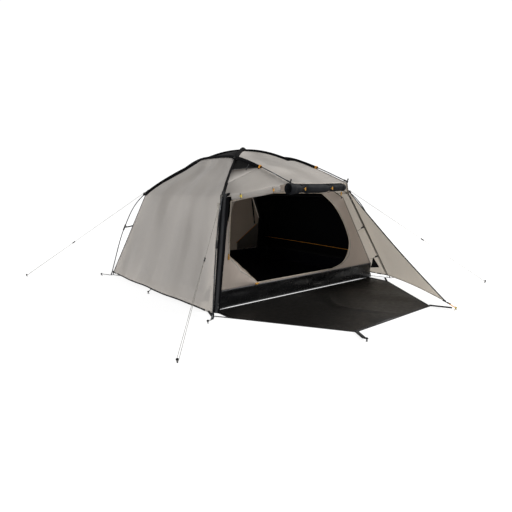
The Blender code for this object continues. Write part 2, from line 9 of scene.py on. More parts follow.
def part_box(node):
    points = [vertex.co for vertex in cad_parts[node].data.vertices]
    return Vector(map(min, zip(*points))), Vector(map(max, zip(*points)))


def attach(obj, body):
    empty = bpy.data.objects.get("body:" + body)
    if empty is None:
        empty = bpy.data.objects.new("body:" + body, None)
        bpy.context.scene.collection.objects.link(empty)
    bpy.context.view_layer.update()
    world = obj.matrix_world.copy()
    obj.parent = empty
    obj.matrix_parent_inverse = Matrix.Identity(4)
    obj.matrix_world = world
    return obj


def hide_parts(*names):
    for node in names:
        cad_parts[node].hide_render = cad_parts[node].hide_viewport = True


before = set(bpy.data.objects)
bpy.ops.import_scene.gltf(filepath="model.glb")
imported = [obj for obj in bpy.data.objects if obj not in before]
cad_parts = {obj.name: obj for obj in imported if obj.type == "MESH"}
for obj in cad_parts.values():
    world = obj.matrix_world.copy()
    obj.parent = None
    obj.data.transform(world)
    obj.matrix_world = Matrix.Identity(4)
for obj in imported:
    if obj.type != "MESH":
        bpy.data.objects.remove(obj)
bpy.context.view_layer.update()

SCENE = bpy.context.scene
SCENE.view_settings.view_transform = "Standard"
SCENE.view_settings.look = "None"

# --- the tent's frame lines, as in the CAD source ------------------------------------------------
FOOT_X, FOOT_Y, APEX_Z = 1.150, 1.109, 1.420
HUB_T, SLEEVE_T, CLIP_T, CORNER_T = 0.318, 0.710, 0.876, 0.985
MAIN_PROFILE = ((0.0, APEX_Z), (HUB_T, 1.293), (SLEEVE_T, 0.950), (CLIP_T, 0.570), (1.0, 0.006))
RIDGE_X, TIP_Y = 0.363, 1.150
RIDGE_PROFILE = ((0.0, 1.330), (0.353, 1.313), (0.740, 1.207), (TIP_Y, 1.060))
SKIN_DROP, HEM_Z, POLE_R, CROSSING = 0.0150, 0.035, 0.00475, 0.010
RING_OUT, SLEEVE_END_Y = 0.014, 0.745      # guy ring off the pole; where a ridge sleeve ends
TUB_X, TUB_Y, TUB_H, TUB_LEAN = 1.075, 0.910, 0.155, 0.150
WALL_SHOULDER, WALL_PEAK, PEAK_X = 0.885, 1.080, 0.340
VESTIBULE = (0.570, 2.205)
CORNERS = {"a": (-1, 1), "b": (-1, -1), "c": (1, -1), "d": (1, 1)}
CORNER_PEG, SIDE_PEG = (0.090, 0.075), (0.045, -0.012)     # out from the pole foot; out and along Y
FREE_PEGS = {"front_peg_left": (-0.626, -2.205), "front_peg_right": (0.524, -2.203),
             "rear_peg_left": (-0.610, 2.215), "rear_peg_right": (0.610, 2.215)}
GUY_FEET = {"a": (-1.930, 1.717), "b": (-1.775, -1.705), "c": (1.703, -1.874), "d": (1.800, 1.760)}
TENSIONER_SHARE = {"a": 0.595, "b": 0.480, "c": 0.550, "d": 0.550}
PEG_HEAD_Z = 0.030
DOOR = {"left_low": (-0.815, 0.440), "left_top": (-0.738, 0.905), "top_right": (0.390, 0.945),
        "right": (0.742, 0.430), "low_right": (0.440, 0.172), "low_left": (-0.540, 0.172)}


def smooth_curve(points, steps):
    pts = [np.array(p, float) for p in points]
    pts = [2 * pts[0] - pts[1], *pts, 2 * pts[-1] - pts[-2]]
    out = []
    for p0, p1, p2, p3 in zip(pts, pts[1:], pts[2:], pts[3:]):
        for s in np.arange(steps) / steps:
            out.append(0.5 * (2 * p1 + (p2 - p0) * s + (2 * p0 - 5 * p1 + 4 * p2 - p3) * s * s
                              + (3 * p1 - p0 - 3 * p2 + p3) * s ** 3))
    out.append(pts[-2])
    return np.array(out)


def mirrored(profile):
    return [(-t, z) for t, z in reversed(profile[1:])] + list(profile)


POLE_LINE = smooth_curve(mirrored(MAIN_PROFILE), 12)
RIDGE_LINE = smooth_curve(mirrored(RIDGE_PROFILE), 12)


def main_z(t):
    return np.interp(np.abs(t), *POLE_LINE[len(POLE_LINE) // 2:].T)


def ridge_z(y):
    return np.interp(np.abs(y), *RIDGE_LINE[len(RIDGE_LINE) // 2:].T)


def skin_z(t):
    fall = (main_z(t + 0.02) - main_z(t - 0.02)) / (0.04 * math.hypot(FOOT_X, FOOT_Y))
    return main_z(t) - SKIN_DROP * np.sqrt(1 + fall * fall)


HUB_Y = FOOT_Y * HUB_T


def ridge_skin_z(y):
    """Fly skin under a ridge pole: it dips below the main pole where the two cross."""
    fall = (ridge_z(y + 0.03) - ridge_z(y - 0.03)) / 0.06
    dip = ridge_z(HUB_Y) - SKIN_DROP * 1.02 - skin_z(HUB_T)
    return (ridge_z(y) - SKIN_DROP * np.sqrt(1 + fall * fall)
            - dip * np.exp(-((np.abs(y) - HUB_Y) / 0.045) ** 2))


def lean(z):
    return TUB_LEAN * (z - TUB_H)


def end_half_width(z):
    return TUB_X - 0.015 - (z - TUB_H) * 0.480


def vec(*p):
    return np.array(p, float)


UP = vec(0, 0, 1)
SIDES = (("left", -1), ("right", 1))
ENDS = (("front", -1), ("back", 1))


def unit(v):
    v = np.asarray(v, float)
    return v / (np.linalg.norm(v, axis=-1, keepdims=True) + 1e-12)


def at_height(p, z):
    return p * [1, 1, 0] + vec(0, 0, z)


def mix(a, b, s):
    s = np.asarray(s, float)[..., None]
    return np.asarray(a, float) * (1 - s) + np.asarray(b, float) * s


def rough(points, scale, seed=0.0):
    """Smooth noise from -1 to 1 at each point."""
    p = np.asarray(points, float) * np.asarray(scale, float)
    flat = p.reshape(-1, p.shape[-1])
    if flat.shape[1] == 2:
        flat = np.c_[flat, np.full(len(flat), 0.37)]
    return np.array([noise.noise(Vector(q) + Vector((seed, seed * 1.7, seed * 0.3)))
                     for q in flat]).reshape(p.shape[:-1])


# --- materials -----------------------------------------------------------------------------------
class Graph:
    """A few short cuts for building a node tree."""

    def __init__(self, name):
        self.mat = bpy.data.materials.new(name)
        self.mat.use_nodes = True
        self.tree = self.mat.node_tree
        self.bsdf = self.tree.nodes["Principled BSDF"]
        self.out = self.tree.nodes["Material Output"]

    def node(self, kind, **settings):
        made = self.tree.nodes.new(kind)
        for key, value in settings.items():
            setattr(made, key, value)
        return made

    def put(self, socket, value):
        if hasattr(value, "is_output"):
            self.tree.links.new(value, socket)
        else:
            socket.default_value = value

    def math(self, operation, a, b=0.0, c=0.0):
        n = self.node("ShaderNodeMath", operation=operation)
        for socket, value in zip(n.inputs, (a, b, c)):
            self.put(socket, value)
        return n.outputs[0]

    def coords(self, kind="UV"):
        return self.node("ShaderNodeTexCoord").outputs[kind]

    def axes(self, vector):
        return self.node_with("ShaderNodeSeparateXYZ", vector).outputs

    def node_with(self, kind, first, **settings):
        n = self.node(kind, **settings)
        self.put(n.inputs[0], first)
        return n

    def noise(self, vector, scale, detail=2.0, stretch=None):
        if stretch:
            m = self.node_with("ShaderNodeMapping", vector)
            m.inputs["Scale"].default_value = stretch
            vector = m.outputs[0]
        n = self.node("ShaderNodeTexNoise")
        self.put(n.inputs["Vector"], vector)
        n.inputs["Scale"].default_value = scale
        n.inputs["Detail"].default_value = detail
        return n.outputs["Fac"]

    def ramp(self, value, low, high, to_low=0.0, to_high=1.0):
        n = self.node("ShaderNodeMapRange")
        for socket, v in zip(n.inputs, (value, low, high, to_low, to_high)):
            self.put(socket, v)
        return n.outputs[0]

    def blend(self, factor, a, b, how="MIX"):
        n = self.node("ShaderNodeMix", data_type="RGBA", blend_type=how)
        self.put(n.inputs[0], factor)
        self.put(n.inputs[6], a)
        self.put(n.inputs[7], b)
        return n.outputs[2]

    def bump(self, height, strength, distance, onto=None):
        n = self.node("ShaderNodeBump")
        n.inputs["Strength"].default_value = strength
        n.inputs["Distance"].default_value = distance
        self.put(n.inputs["Height"], height)
        if onto is not None:
            self.put(n.inputs["Normal"], onto)
        return n.outputs[0]

    def surface(self, **inputs):
        """Set the shader's inputs by name, with underscores for spaces."""
        for key, value in inputs.items():
            self.put(self.bsdf.inputs[key.replace("_", " ")], value)
        return self.mat

    def stripes(self, value, period, width):
        """1 on a line of this width in every period."""
        at = self.math("FRACT", self.math("DIVIDE", value, period))
        return self.math("LESS_THAN", at, width / period)


def rgb(hex_code, gain=1.0):
    """Linear colour of an sRGB hex code."""
    values = [int(hex_code[i:i + 2], 16) / 255 for i in (0, 2, 4)]
    return (*[min(1.0, gain * (v / 12.92 if v < 0.04045 else ((v + 0.055) / 1.055) ** 2.4))
              for v in values], 1.0)


def shade(colour, gain):
    return (*[min(1.0, c * gain) for c in colour[:3]], 1.0)


def cloth(name, colour, roughness=0.75, ripstop=0.0, through=0.0, sheen=0.15, weave=0.0009,
          creases=0.35, dusty=0.0, uneven=0.06, shine=0.25, shade_fade=None, folds=0.0, glow=0.55):
    """Woven cloth: threads, a ripstop grid, soft creases, uneven colour, painted shade of broad folds, an
    optional painted shade that fades along V, and dust near the ground.
    """
    g = Graph(name)
    uv, at = g.coords("UV"), g.coords("Object")
    u, v, _ = g.axes(uv)
    warp = g.math("SINE", g.math("MULTIPLY", u, 2 * math.pi / weave))
    weft = g.math("SINE", g.math("MULTIPLY", v, 2 * math.pi / weave))
    threads = g.math("MULTIPLY", warp, weft)
    cloud = g.noise(at, 1.7, 4.0)
    fine = g.noise(at, 26.0, 3.0)
    colour_a, colour_b = shade(colour, 1 - uneven), shade(colour, 1 + uneven)
    base = g.blend(g.ramp(cloud, 0.3, 0.7), colour_a, colour_b)
    base = g.blend(g.ramp(fine, 0.2, 0.8, 0.0, 0.35), base, shade(colour, 0.92))
    # Broad vertical fold noise: it bumps the normal and also darkens the colour in bands, painted fold shade.
    wide = g.noise(at, 1.9, 1.0, (1.0, 1.0, 0.25)) if folds else None
    if folds:
        base = g.blend(g.ramp(wide, 0.38, 0.66, 0.0, 0.32), base, shade(colour, 0.62))
    # Painted shade that fades out: the dark colour near V=start gives way to the other colour by V=stop.
    if shade_fade:
        other, start, stop = shade_fade
        base = g.blend(g.ramp(v, start, stop), base, other)
    height = g.math("MULTIPLY", threads, 0.25)
    if ripstop:
        grid = g.math("MAXIMUM", g.stripes(u, 0.006, 0.0007), g.stripes(v, 0.006, 0.0007))
        base = g.blend(g.math("MULTIPLY", grid, ripstop), base, shade(colour, 1.25))
        height = g.math("ADD", height, g.math("MULTIPLY", grid, 0.5))
    if dusty:
        low = g.ramp(g.axes(at)[2], 0.0, 0.16, 1.0, 0.0)
        dirt = g.math("MULTIPLY", low, g.ramp(g.noise(at, 14.0, 5.0), 0.35, 0.75, 0.0, dusty))
        base = g.blend(dirt, base, (0.30, 0.25, 0.19, 1.0))
    puckers = g.noise(at, 7.0, 3.0, (1.0, 1.0, 0.35))
    broad = g.bump(wide, 1.0, folds) if folds else None
    normal = g.bump(puckers, creases, 0.012, broad)
    normal = g.bump(height, 0.25, 0.0004, normal)
    g.surface(Base_Color=base, Roughness=g.ramp(fine, 0.2, 0.8, roughness - 0.07, roughness + 0.07),
              Sheen_Weight=sheen, Sheen_Roughness=0.4, Specular_IOR_Level=shine, Normal=normal)
    if through:
        thin = g.node("ShaderNodeBsdfTranslucent")
        g.put(thin.inputs["Color"], g.blend(glow, base, (1.0, 0.97, 0.92, 1.0)))
        g.put(thin.inputs["Normal"], normal)
        both = g.node("ShaderNodeMixShader")
        both.inputs[0].default_value = through
        g.put(both.inputs[1], g.bsdf.outputs[0])
        g.put(both.inputs[2], thin.outputs[0])
        g.put(g.out.inputs["Surface"], both.outputs[0])
    return g.mat


def webbing(name, colour, stitched=True, rib=0.0016, roughness=0.7):
    """Flat woven band: ribs across it, and a row of stitches along each edge."""
    g = Graph(name)
    uv, at = g.coords("UV"), g.coords("Object")
    u, v, _ = g.axes(uv)
    ribs = g.math("SINE", g.math("MULTIPLY", u, 2 * math.pi / rib))
    base = g.blend(g.ramp(g.noise(at, 30.0, 3.0), 0.3, 0.7), shade(colour, 0.85), shade(colour, 1.2))
    height = ribs
    if stitched:
        edge = g.math("ABSOLUTE", v)
        line = g.math("MULTIPLY", g.math("GREATER_THAN", edge, 0.68), g.math("LESS_THAN", edge, 0.80))
        dash = g.math("MULTIPLY", line, g.stripes(u, 0.0042, 0.0030))
        base = g.blend(g.math("MULTIPLY", dash, 0.6), base, shade(colour, 2.4))
        height = g.math("SUBTRACT", height, g.math("MULTIPLY", dash, 2.0))
    worn = g.ramp(g.noise(at, 60.0), 0.3, 0.7, roughness - 0.08, roughness + 0.1)
    return g.surface(Base_Color=base, Roughness=worn, Sheen_Weight=0.03, Specular_IOR_Level=0.2,
                     Normal=g.bump(height, 0.5, 0.0003))


def zip_tape(name, colour):
    """Zip: tape on both sides of a chain of teeth that runs along the middle."""
    g = Graph(name)
    uv, at = g.coords("UV"), g.coords("Object")
    u, v, _ = g.axes(uv)
    chain = g.math("LESS_THAN", g.math("ABSOLUTE", v), 0.28)
    tooth = g.math("MULTIPLY", chain, g.stripes(u, 0.0030, 0.0018))
    base = g.blend(g.ramp(g.noise(at, 40.0, 3.0), 0.3, 0.7), shade(colour, 0.8), shade(colour, 1.2))
    base = g.blend(g.math("MULTIPLY", tooth, 0.5), base, shade(colour, 2.2))
    return g.surface(Base_Color=base, Roughness=g.ramp(chain, 0.0, 1.0, 0.8, 0.4),
                     Normal=g.bump(g.math("ADD", tooth, chain), 0.6, 0.0008))


def mesh_cloth(name, colour, cell=0.0024):
    """Insect mesh, dense enough to read as a solid sheet: holes as dark dimples."""
    g = Graph(name)
    uv, at = g.coords("UV"), g.coords("Object")
    u, v, _ = g.axes(uv)
    hole = g.math("MULTIPLY", g.math("GREATER_THAN", g.math("SINE", g.math("MULTIPLY", u, 6.283 / cell)),
                                     0.0),
                  g.math("GREATER_THAN", g.math("SINE", g.math("MULTIPLY", v, 6.283 / cell)), 0.0))
    base = g.blend(hole, colour, shade(colour, 0.35))
    base = g.blend(g.ramp(g.noise(at, 3.0, 3.0), 0.3, 0.7, 0.0, 0.4), base, shade(colour, 1.5))
    return g.surface(Base_Color=base, Roughness=g.ramp(hole, 0.0, 1.0, 0.65, 0.95), Sheen_Weight=0.0,
                     Specular_IOR_Level=0.1, Normal=g.bump(hole, 0.3, 0.0005))


def metal(name, colour, roughness=0.3, metallic=0.9):
    """Anodised tube: fine lengthwise brushing, faint scuffs that show brighter metal."""
    g = Graph(name)
    at = g.coords("Object")
    grain = g.noise(at, 160.0, 2.0, (1.0, 1.0, 0.15))
    scuff = g.ramp(g.noise(at, 38.0, 5.0), 0.62, 0.72)
    base = g.blend(g.math("MULTIPLY", scuff, 0.35), colour, shade(colour, 3.0))
    worn = g.ramp(grain, 0.3, 0.7, roughness - 0.08, roughness + 0.12)
    return g.surface(Base_Color=base, Roughness=worn, Metallic=metallic, Normal=g.bump(grain, 0.08, 0.0003))


def plastic(name, colour, roughness=0.45):
    """Moulded plastic: fine spark grain and slightly polished high spots."""
    g = Graph(name)
    at = g.coords("Object")
    grain = g.noise(at, 900.0, 2.0)
    worn = g.noise(at, 45.0, 4.0)
    base = g.blend(g.ramp(worn, 0.35, 0.7), shade(colour, 0.85), shade(colour, 1.15))
    return g.surface(Base_Color=base, Roughness=g.ramp(worn, 0.3, 0.7, roughness - 0.1, roughness + 0.1),
                     Normal=g.bump(grain, 0.15, 0.0002))


def braid(name, colour, period=0.004):
    """Braided cord: two crossing spirals of strands and a pale tracer."""
    g = Graph(name)
    at = g.coords("Object")
    x, y, z = g.axes(at)
    along = g.math("ADD", g.math("ADD", x, y), z)
    one = g.math("SINE", g.math("MULTIPLY", along, 6.283 / period))
    two = g.math("SINE", g.math("MULTIPLY", g.math("SUBTRACT", x, y), 6.283 / period))
    strands = g.math("MULTIPLY", one, two)
    base = g.blend(g.ramp(strands, -0.4, 0.6), shade(colour, 0.75), shade(colour, 1.15))
    base = g.blend(g.ramp(g.noise(at, 90.0), 0.55, 0.7, 0.0, 0.5), base, shade(colour, 1.5))
    return g.surface(Base_Color=base, Roughness=g.ramp(strands, -1.0, 1.0, 0.85, 0.6),
                     Normal=g.bump(strands, 0.5, 0.0004))


GREY, GREY_IN = rgb("bab5b0"), rgb("b5aa9b")
BLACK, SLATE = rgb("0c0c0e"), rgb("26282c")
BEIGE, ORANGE = rgb("b4a9a0", 1.28), rgb("c8862c")
M = {
    # The fly's folds darken its colour in broad bands: painted fold shade.
    "fly": cloth("fly_cloth", GREY, 0.62, ripstop=0.10, through=0.34, dusty=0.35, folds=0.26),
    "fly_in": cloth("fly_cloth_inside", GREY_IN, 0.55, ripstop=0.10, through=0.80, sheen=0.05, dusty=0.3,
                    glow=0.8),
    "black": cloth("black_cloth", BLACK, 0.78, weave=0.0012, sheen=0.02, creases=0.2, shine=0.05),
    "slate": cloth("slate_cloth", shade(SLATE, 0.5), 0.66, ripstop=0.08, sheen=0.02, creases=0.8, shine=0.07),
    # Painted shade for the vent hood: dark brown-grey by the mesh window, fading to the fly grey.
    "hood_shade": cloth("vent_hood_painted_shade", rgb("4a443f"), 0.75, creases=0.3, shine=0.1, shade_fade=(GREY, 0.02, 0.15)),
    "inner": cloth("inner_cloth", BEIGE, 0.8, ripstop=0.08, through=0.30, sheen=0.05, creases=0.5),
    "inner_dark": cloth("inner_cloth_shaded", rgb("6d655d"), 0.85, creases=0.5),
    # A darker copy of the inner cloth: painted shade for the inside face of the rear wall.
    "inner_shade": cloth("inner_cloth_back_painted_shade", rgb("9a8c80"), 0.85, ripstop=0.05, through=0.35, creases=0.5),
    "tub": cloth("tub_cloth", rgb("0a0a0c"), 0.30, weave=0.0014, sheen=0.0, creases=0.8, shine=0.35),
    "tub_in": cloth("tub_cloth_inside", rgb("0a0a12"), 0.6, weave=0.0014, sheen=0.0, creases=0.4, shine=0.1),
    "ground": cloth("groundsheet_cloth", rgb("11100f"), 0.40, weave=0.0014, sheen=0.0, creases=0.35,
                    shine=0.18,
                    uneven=0.03),
    "mesh": mesh_cloth("insect_mesh", rgb("0d0d0d")),
    "web": webbing("black_webbing", rgb("131315")),
    "hem": webbing("hem_binding", rgb("141416"), rib=0.0012),
    "pipe": webbing("grey_piping", rgb("6f6f72"), stitched=False),
    "pale_pipe": webbing("pale_piping", rgb("b9ad9c"), stitched=False),
    "seam": webbing("seam_tape", rgb("a9a39c"), rib=0.0024),
    "orange": webbing("orange_webbing", ORANGE),
    "orange_pipe": webbing("orange_piping", rgb("c08030"), stitched=False),
    "zip": zip_tape("black_zip", rgb("111216")),
    "pole": metal("pole_alloy", rgb("2c2e32"), 0.30, 0.9),
    "ferrule": metal("ferrule_alloy", rgb("5b5d60"), 0.25, 1.0),
    "peg_dark": metal("peg_dark_alloy", rgb("1d1e20"), 0.4, 0.7),
    "peg_gold": metal("peg_olive_alloy", rgb("8c7c3c"), 0.35, 0.9),
    "plastic": plastic("black_plastic", rgb("0e0e10")),
    "toggle": plastic("orange_plastic", rgb("c8902e"), 0.4),
    "yellow": plastic("yellow_plastic", rgb("d4bc20"), 0.4),
    "cord": braid("guyline_braid", rgb("7a7770")),
    "shock": braid("shock_cord", rgb("1c1816"), 0.003),
}


# --- mesh helpers --------------------------------------------------------------------------------
def arc(points):
    return np.r_[0, np.cumsum(np.linalg.norm(np.diff(points, axis=0), axis=1))]


def finish_mesh(name, bm, materials):
    mesh = bpy.data.meshes.new(name)
    bm.to_mesh(mesh)
    bm.free()
    mesh.polygons.foreach_set("use_smooth", [True] * len(mesh.polygons))
    obj = bpy.data.objects.new(name, mesh)
    for m in materials:
        mesh.materials.append(M[m])
    SCENE.collection.objects.link(obj)
    return obj


def add_grid(bm, points, material=0, flip=False, closed=False):
    """Quads on a grid of points (rows, columns, 3), with UVs in metres."""
    rows, cols = points.shape[:2]
    uv = bm.loops.layers.uv.verify()
    us, vs = arc(points[rows // 2]), arc(points[:, cols // 2])
    if closed:
        us = np.r_[us, us[-1] + np.linalg.norm(points[rows // 2, 0] - points[rows // 2, -1])]
    verts = [[bm.verts.new(p) for p in row] for row in points]
    for i in range(rows - 1):
        for j in range(cols if closed else cols - 1):
            k = (j + 1) % cols
            quad = [verts[i][j], verts[i][k], verts[i + 1][k], verts[i + 1][j]]
            at = [(us[j], vs[i]), (us[j + 1], vs[i]), (us[j + 1], vs[i + 1]), (us[j], vs[i + 1])]
            if flip:
                quad, at = quad[::-1], at[::-1]
            face = bm.faces.new(quad)
            face.material_index = int(material if np.isscalar(material) else material[i][j])
            for loop, place in zip(face.loops, at):
                loop[uv].uv = place
    return verts


def face(bm, way):
    """Turn all faces over if on the whole they look against this direction."""
    for f in bm.faces:
        f.normal_update()
    if sum(f.normal.dot(Vector(way)) for f in bm.faces) < 0:
        bmesh.ops.reverse_faces(bm, faces=bm.faces)


def agree(bm):
    """Make each closed shell's faces look outward."""
    bmesh.ops.recalc_face_normals(bm, faces=bm.faces)


def plan_uv(bm):
    """Weave laid out straight on an upright wall: U along X, V up."""
    uv = bm.loops.layers.uv.verify()
    for f in bm.faces:
        for loop in f.loops:
            loop[uv].uv = (loop.vert.co.x, loop.vert.co.z)


def thicken(obj, thickness, inner_slots=0):
    solid = obj.modifiers.new("cloth_thickness", "SOLIDIFY")
    solid.thickness = thickness
    solid.offset = 0.0
    solid.material_offset = inner_slots
    solid.material_offset_rim = 0
    return obj


def normals_of(points):
    n = np.cross(np.gradient(points, axis=1), np.gradient(points, axis=0))
    return unit(n)


def frames_along(points, side=None):
    """Tangent, side and normal at each point of a path, carried without twist."""
    p = np.asarray(points, float)
    tangent = unit(np.gradient(p, axis=0))
    start = UP if side is None else np.asarray(side, float)
    if abs(start @ tangent[0]) > 0.95:
        start = vec(1, 0, 0)
    normals = []
    n = start
    for t in tangent:
        n = unit(n - t * (n @ t))
        normals.append(n)
    normals = np.array(normals)
    return tangent, np.cross(normals, tangent), normals


def sweep(bm, path, section, side=None, closed=True, caps=True, scale=None, normals=None, material=0):
    """A cross section (pairs across, out) carried along a path; scale multiplies it at each point."""
    p = np.asarray(path, float)
    tangent, across, up = frames_along(p, side)
    if normals is not None:
        up = unit(normals - tangent * np.sum(normals * tangent, axis=1, keepdims=True))
        across = np.cross(up, tangent)
    s = np.asarray(section, float)
    size = np.ones((len(p), 2)) if scale is None else np.asarray(scale, float).reshape(len(p), -1)
    size = np.broadcast_to(size, (len(p), 2))
    grid = (p[:, None] + across[:, None] * (s[None, :, 0] * size[:, :1])[..., None]
            + up[:, None] * (s[None, :, 1] * size[:, 1:])[..., None])
    verts = add_grid(bm, grid, material, closed=closed)
    if caps and closed:
        for row, turn in ((verts[0], 1), (verts[-1], -1)):
            face = bm.faces.new(row[::turn])
            face.material_index = material
    return verts


def circle(radius, sides=12):
    a = np.linspace(0, 2 * np.pi, sides, endpoint=False)
    return np.c_[np.cos(a), np.sin(a)] * radius


def tube(name, path, radius, material, sides=12, scale=None):
    bm = bmesh.new()
    sweep(bm, path, circle(radius, sides), scale=scale)
    agree(bm)
    return finish_mesh(name, bm, [material])


def add_ribbon(bm, path, normals, width, thickness=0.0012, lift=0.0, material=0):
    """A flat band with rounded edges along a path; V runs from -1 to 1 across it, U in metres."""
    p = np.asarray(path, float)
    w = np.broadcast_to(np.asarray(width, float), (len(p),))
    normals = np.broadcast_to(np.asarray(normals, float), p.shape)
    tangent = unit(np.gradient(p, axis=0))
    up = unit(normals - tangent * np.sum(normals * tangent, axis=1, keepdims=True))
    across = np.cross(up, tangent)
    section = np.array([(-1.0, 0.0), (-0.92, 0.5), (-0.5, 0.5), (0.0, 0.5), (0.5, 0.5), (0.92, 0.5),
                        (1.0, 0.0), (0.92, -0.5), (0.0, -0.5), (-0.92, -0.5)])
    uv = bm.loops.layers.uv.verify()
    along = arc(p)
    rings = []
    for k in range(len(p)):
        centre = p[k] + up[k] * (lift + thickness / 2)
        rings.append([bm.verts.new(centre + across[k] * w[k] / 2 * a + up[k] * thickness * b)
                      for a, b in section])
    n = len(section)
    for k in range(len(p) - 1):
        for i in range(n):
            j = (i + 1) % n
            face = bm.faces.new((rings[k][i], rings[k][j], rings[k + 1][j], rings[k + 1][i]))
            face.material_index = material
            for loop, (kk, s) in zip(face.loops, ((k, i), (k, j), (k + 1, j), (k + 1, i))):
                loop[uv].uv = (along[kk], section[s][0])
    for ring, turn in ((rings[0], 1), (rings[-1], -1)):
        face = bm.faces.new(ring[::turn])
        face.material_index = material


def ribbon(name, path, normals, width, material, thickness=0.0012, lift=0.0):
    bm = bmesh.new()
    add_ribbon(bm, path, normals, width, thickness, lift)
    agree(bm)
    return finish_mesh(name, bm, [material])


def line(a, b, n=12, sag=0.0):
    s = np.linspace(0, 1, n)
    p = mix(a, b, s)
    p[:, 2] -= sag * 4 * s * (1 - s)
    return p


def keep(obj, body="tent", replaces=()):
    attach(obj, body)
    if replaces:
        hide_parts(*replaces)
    return obj


def box_centre(node):
    low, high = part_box(node)
    return np.array((low + high) / 2)


def strap(name, path, normals, width, material="web", thickness=0.0012, lift=0.0):
    return keep(ribbon(name, path, normals, width, material, thickness, lift))


def cord_tube(name, path, radius, material):
    return keep(tube(name, path, radius, material, 8))


def lay_sheet(name, grid, materials, thickness, way=None, replaces=(), closed=False,
              capped=False, upright=False):
    """A sheet of cloth on a grid of points. A second material lines its inside."""
    bm = bmesh.new()
    verts = add_grid(bm, grid, closed=closed)
    if capped:
        bm.faces.new(verts[0])
    if upright:
        plan_uv(bm)
    if way is not None:
        face(bm, way)
    obj = finish_mesh(name, bm, materials)
    thicken(obj, thickness, len(materials) - 1)
    return keep(obj, replaces=replaces)


def padded_roll(name, grid, material, thickness, node):
    """Rolled or bunched cloth: a loose spiral with soft layers inside."""
    bm = bmesh.new()
    add_grid(bm, grid)
    agree(bm)
    obj = finish_mesh(name, bm, [material])
    thicken(obj, thickness)
    keep(obj, replaces=[node])


def moulded(name, bm, materials, body="tent", replaces=()):
    """Keep a part that was built up in this mesh, with its faces turned outward."""
    agree(bm)
    return keep(finish_mesh(name, bm, materials), body, replaces)


def hoop(centre, one, other, radius, a):
    """Points round a centre, at these angles from one direction towards the other."""
    return centre + np.cos(a)[:, None] * one * radius + np.sin(a)[:, None] * other * radius


def spiral_grid(path, across, up, angles, radii):
    """Points round a path, at a radius for each point of it and each angle."""
    return (path[:, None] + np.cos(angles)[None, :, None] * across[:, None] * radii[..., None]
            + np.sin(angles)[None, :, None] * up[:, None] * radii[..., None])




# --- camera, lights, floor -----------------------------------------------------------------------
CAMERA_AT, CAMERA_TURN = (-2.9554, -4.0102, 1.0685), (-37.7135, 9.4527, -0.7084)     # azimuth, pitch, roll
LENS, SHIFT = 31.39, (0.0007, 0.0001)


def make_camera():
    azimuth, pitch, roll = (math.radians(a) for a in CAMERA_TURN)
    back = Vector((math.sin(azimuth) * math.cos(pitch), -math.cos(azimuth) * math.cos(pitch),
                   math.sin(pitch)))
    right = Vector((math.cos(azimuth), math.sin(azimuth), 0))
    up = back.cross(right)
    right, up = (right * math.cos(roll) + up * math.sin(roll), up * math.cos(roll) - right * math.sin(roll))
    data = bpy.data.cameras.new("camera")
    data.sensor_width = 36.0
    data.lens = LENS
    data.shift_x, data.shift_y = SHIFT
    data.clip_end = 200.0
    cam = bpy.data.objects.new("camera", data)
    turn = Matrix((right, up, back)).transposed().to_4x4()
    cam.matrix_world = Matrix.Translation(CAMERA_AT) @ turn
    SCENE.collection.objects.link(cam)
    SCENE.camera = cam


def area_light(name, place, target, size, power, colour=(1, 1, 1), spread=180.0):
    data = bpy.data.lights.new(name, "AREA")
    data.shape = "DISK"
    data.size = size
    data.energy = power
    data.color = colour
    data.spread = math.radians(spread)
    obj = bpy.data.objects.new(name, data)
    obj.location = place
    obj.rotation_mode = "QUATERNION"
    obj.rotation_quaternion = (Vector(target) - Vector(place)).to_track_quat("-Z", "Y")
    obj.visible_camera = False
    SCENE.collection.objects.link(obj)


FLOOR_HALF, BACKDROP_R, SKY_STRENGTH, WHITE = 60, 58.0, 0.42, (1, 1, 1, 1)


def stage_object(name, bm, mat):
    mesh = bpy.data.meshes.new(name)
    bm.to_mesh(mesh)
    bm.free()
    mesh.materials.append(mat)
    obj = bpy.data.objects.new(name, mesh)
    SCENE.collection.objects.link(obj)
    return obj


def make_stage():
    world = bpy.data.worlds.new("studio")
    world.use_nodes = True
    sky = world.node_tree.nodes["Background"].inputs
    sky["Color"].default_value, sky["Strength"].default_value = WHITE, SKY_STRENGTH
    SCENE.world = world
    g = Graph("floor_paint")
    x, y, _ = g.axes(g.coords("Object"))
    far = g.math("ADD", g.math("MULTIPLY", x, x), g.math("MULTIPLY", y, y))
    g.surface(Base_Color=(0.22, 0.22, 0.22, 1.0), Roughness=0.9, Specular_IOR_Level=0.0, Emission_Color=WHITE,
              Emission_Strength=g.ramp(far, 4.0, 16.0, 0.86, 0.96))
    bm = bmesh.new()
    add_grid(bm, np.array([[(x * FLOOR_HALF, y * FLOOR_HALF, 0) for x in (-1, 1)] for y in (-1, 1)], float))
    floor = stage_object("floor", bm, g.mat)
    w = Graph("backdrop_paint")
    w.surface(Base_Color=(0, 0, 0, 1), Specular_IOR_Level=0.0, Emission_Color=WHITE, Emission_Strength=1.05)
    bm = bmesh.new()
    bmesh.ops.create_uvsphere(bm, u_segments=48, v_segments=24, radius=BACKDROP_R)
    backdrop = stage_object("backdrop", bm, w.mat)
    for flag in ("diffuse", "glossy", "transmission", "shadow", "volume_scatter"):
        setattr(backdrop, f"visible_{flag}", False)
    area_light("key", (5.5, -3.6, 6.5), (0, -0.4, 0.5), 4.5, 780.0, (1.0, 0.99, 0.97))
    area_light("rear_left_fill", (-6.0, 3.6, 3.2), (-1, 0, 0.4), 2.5, 205.0)
    area_light("wing_fill", (-6.5, -5.0, 2.2), (0.9, -1.5, 0.3), 2.0, 75.0)
    area_light("vestibule_fill", (-0.4, -3.1, 0.30), (1.18, -1.87, 0.42), 0.5, 5.0, spread=44.0)


make_camera()
make_stage()


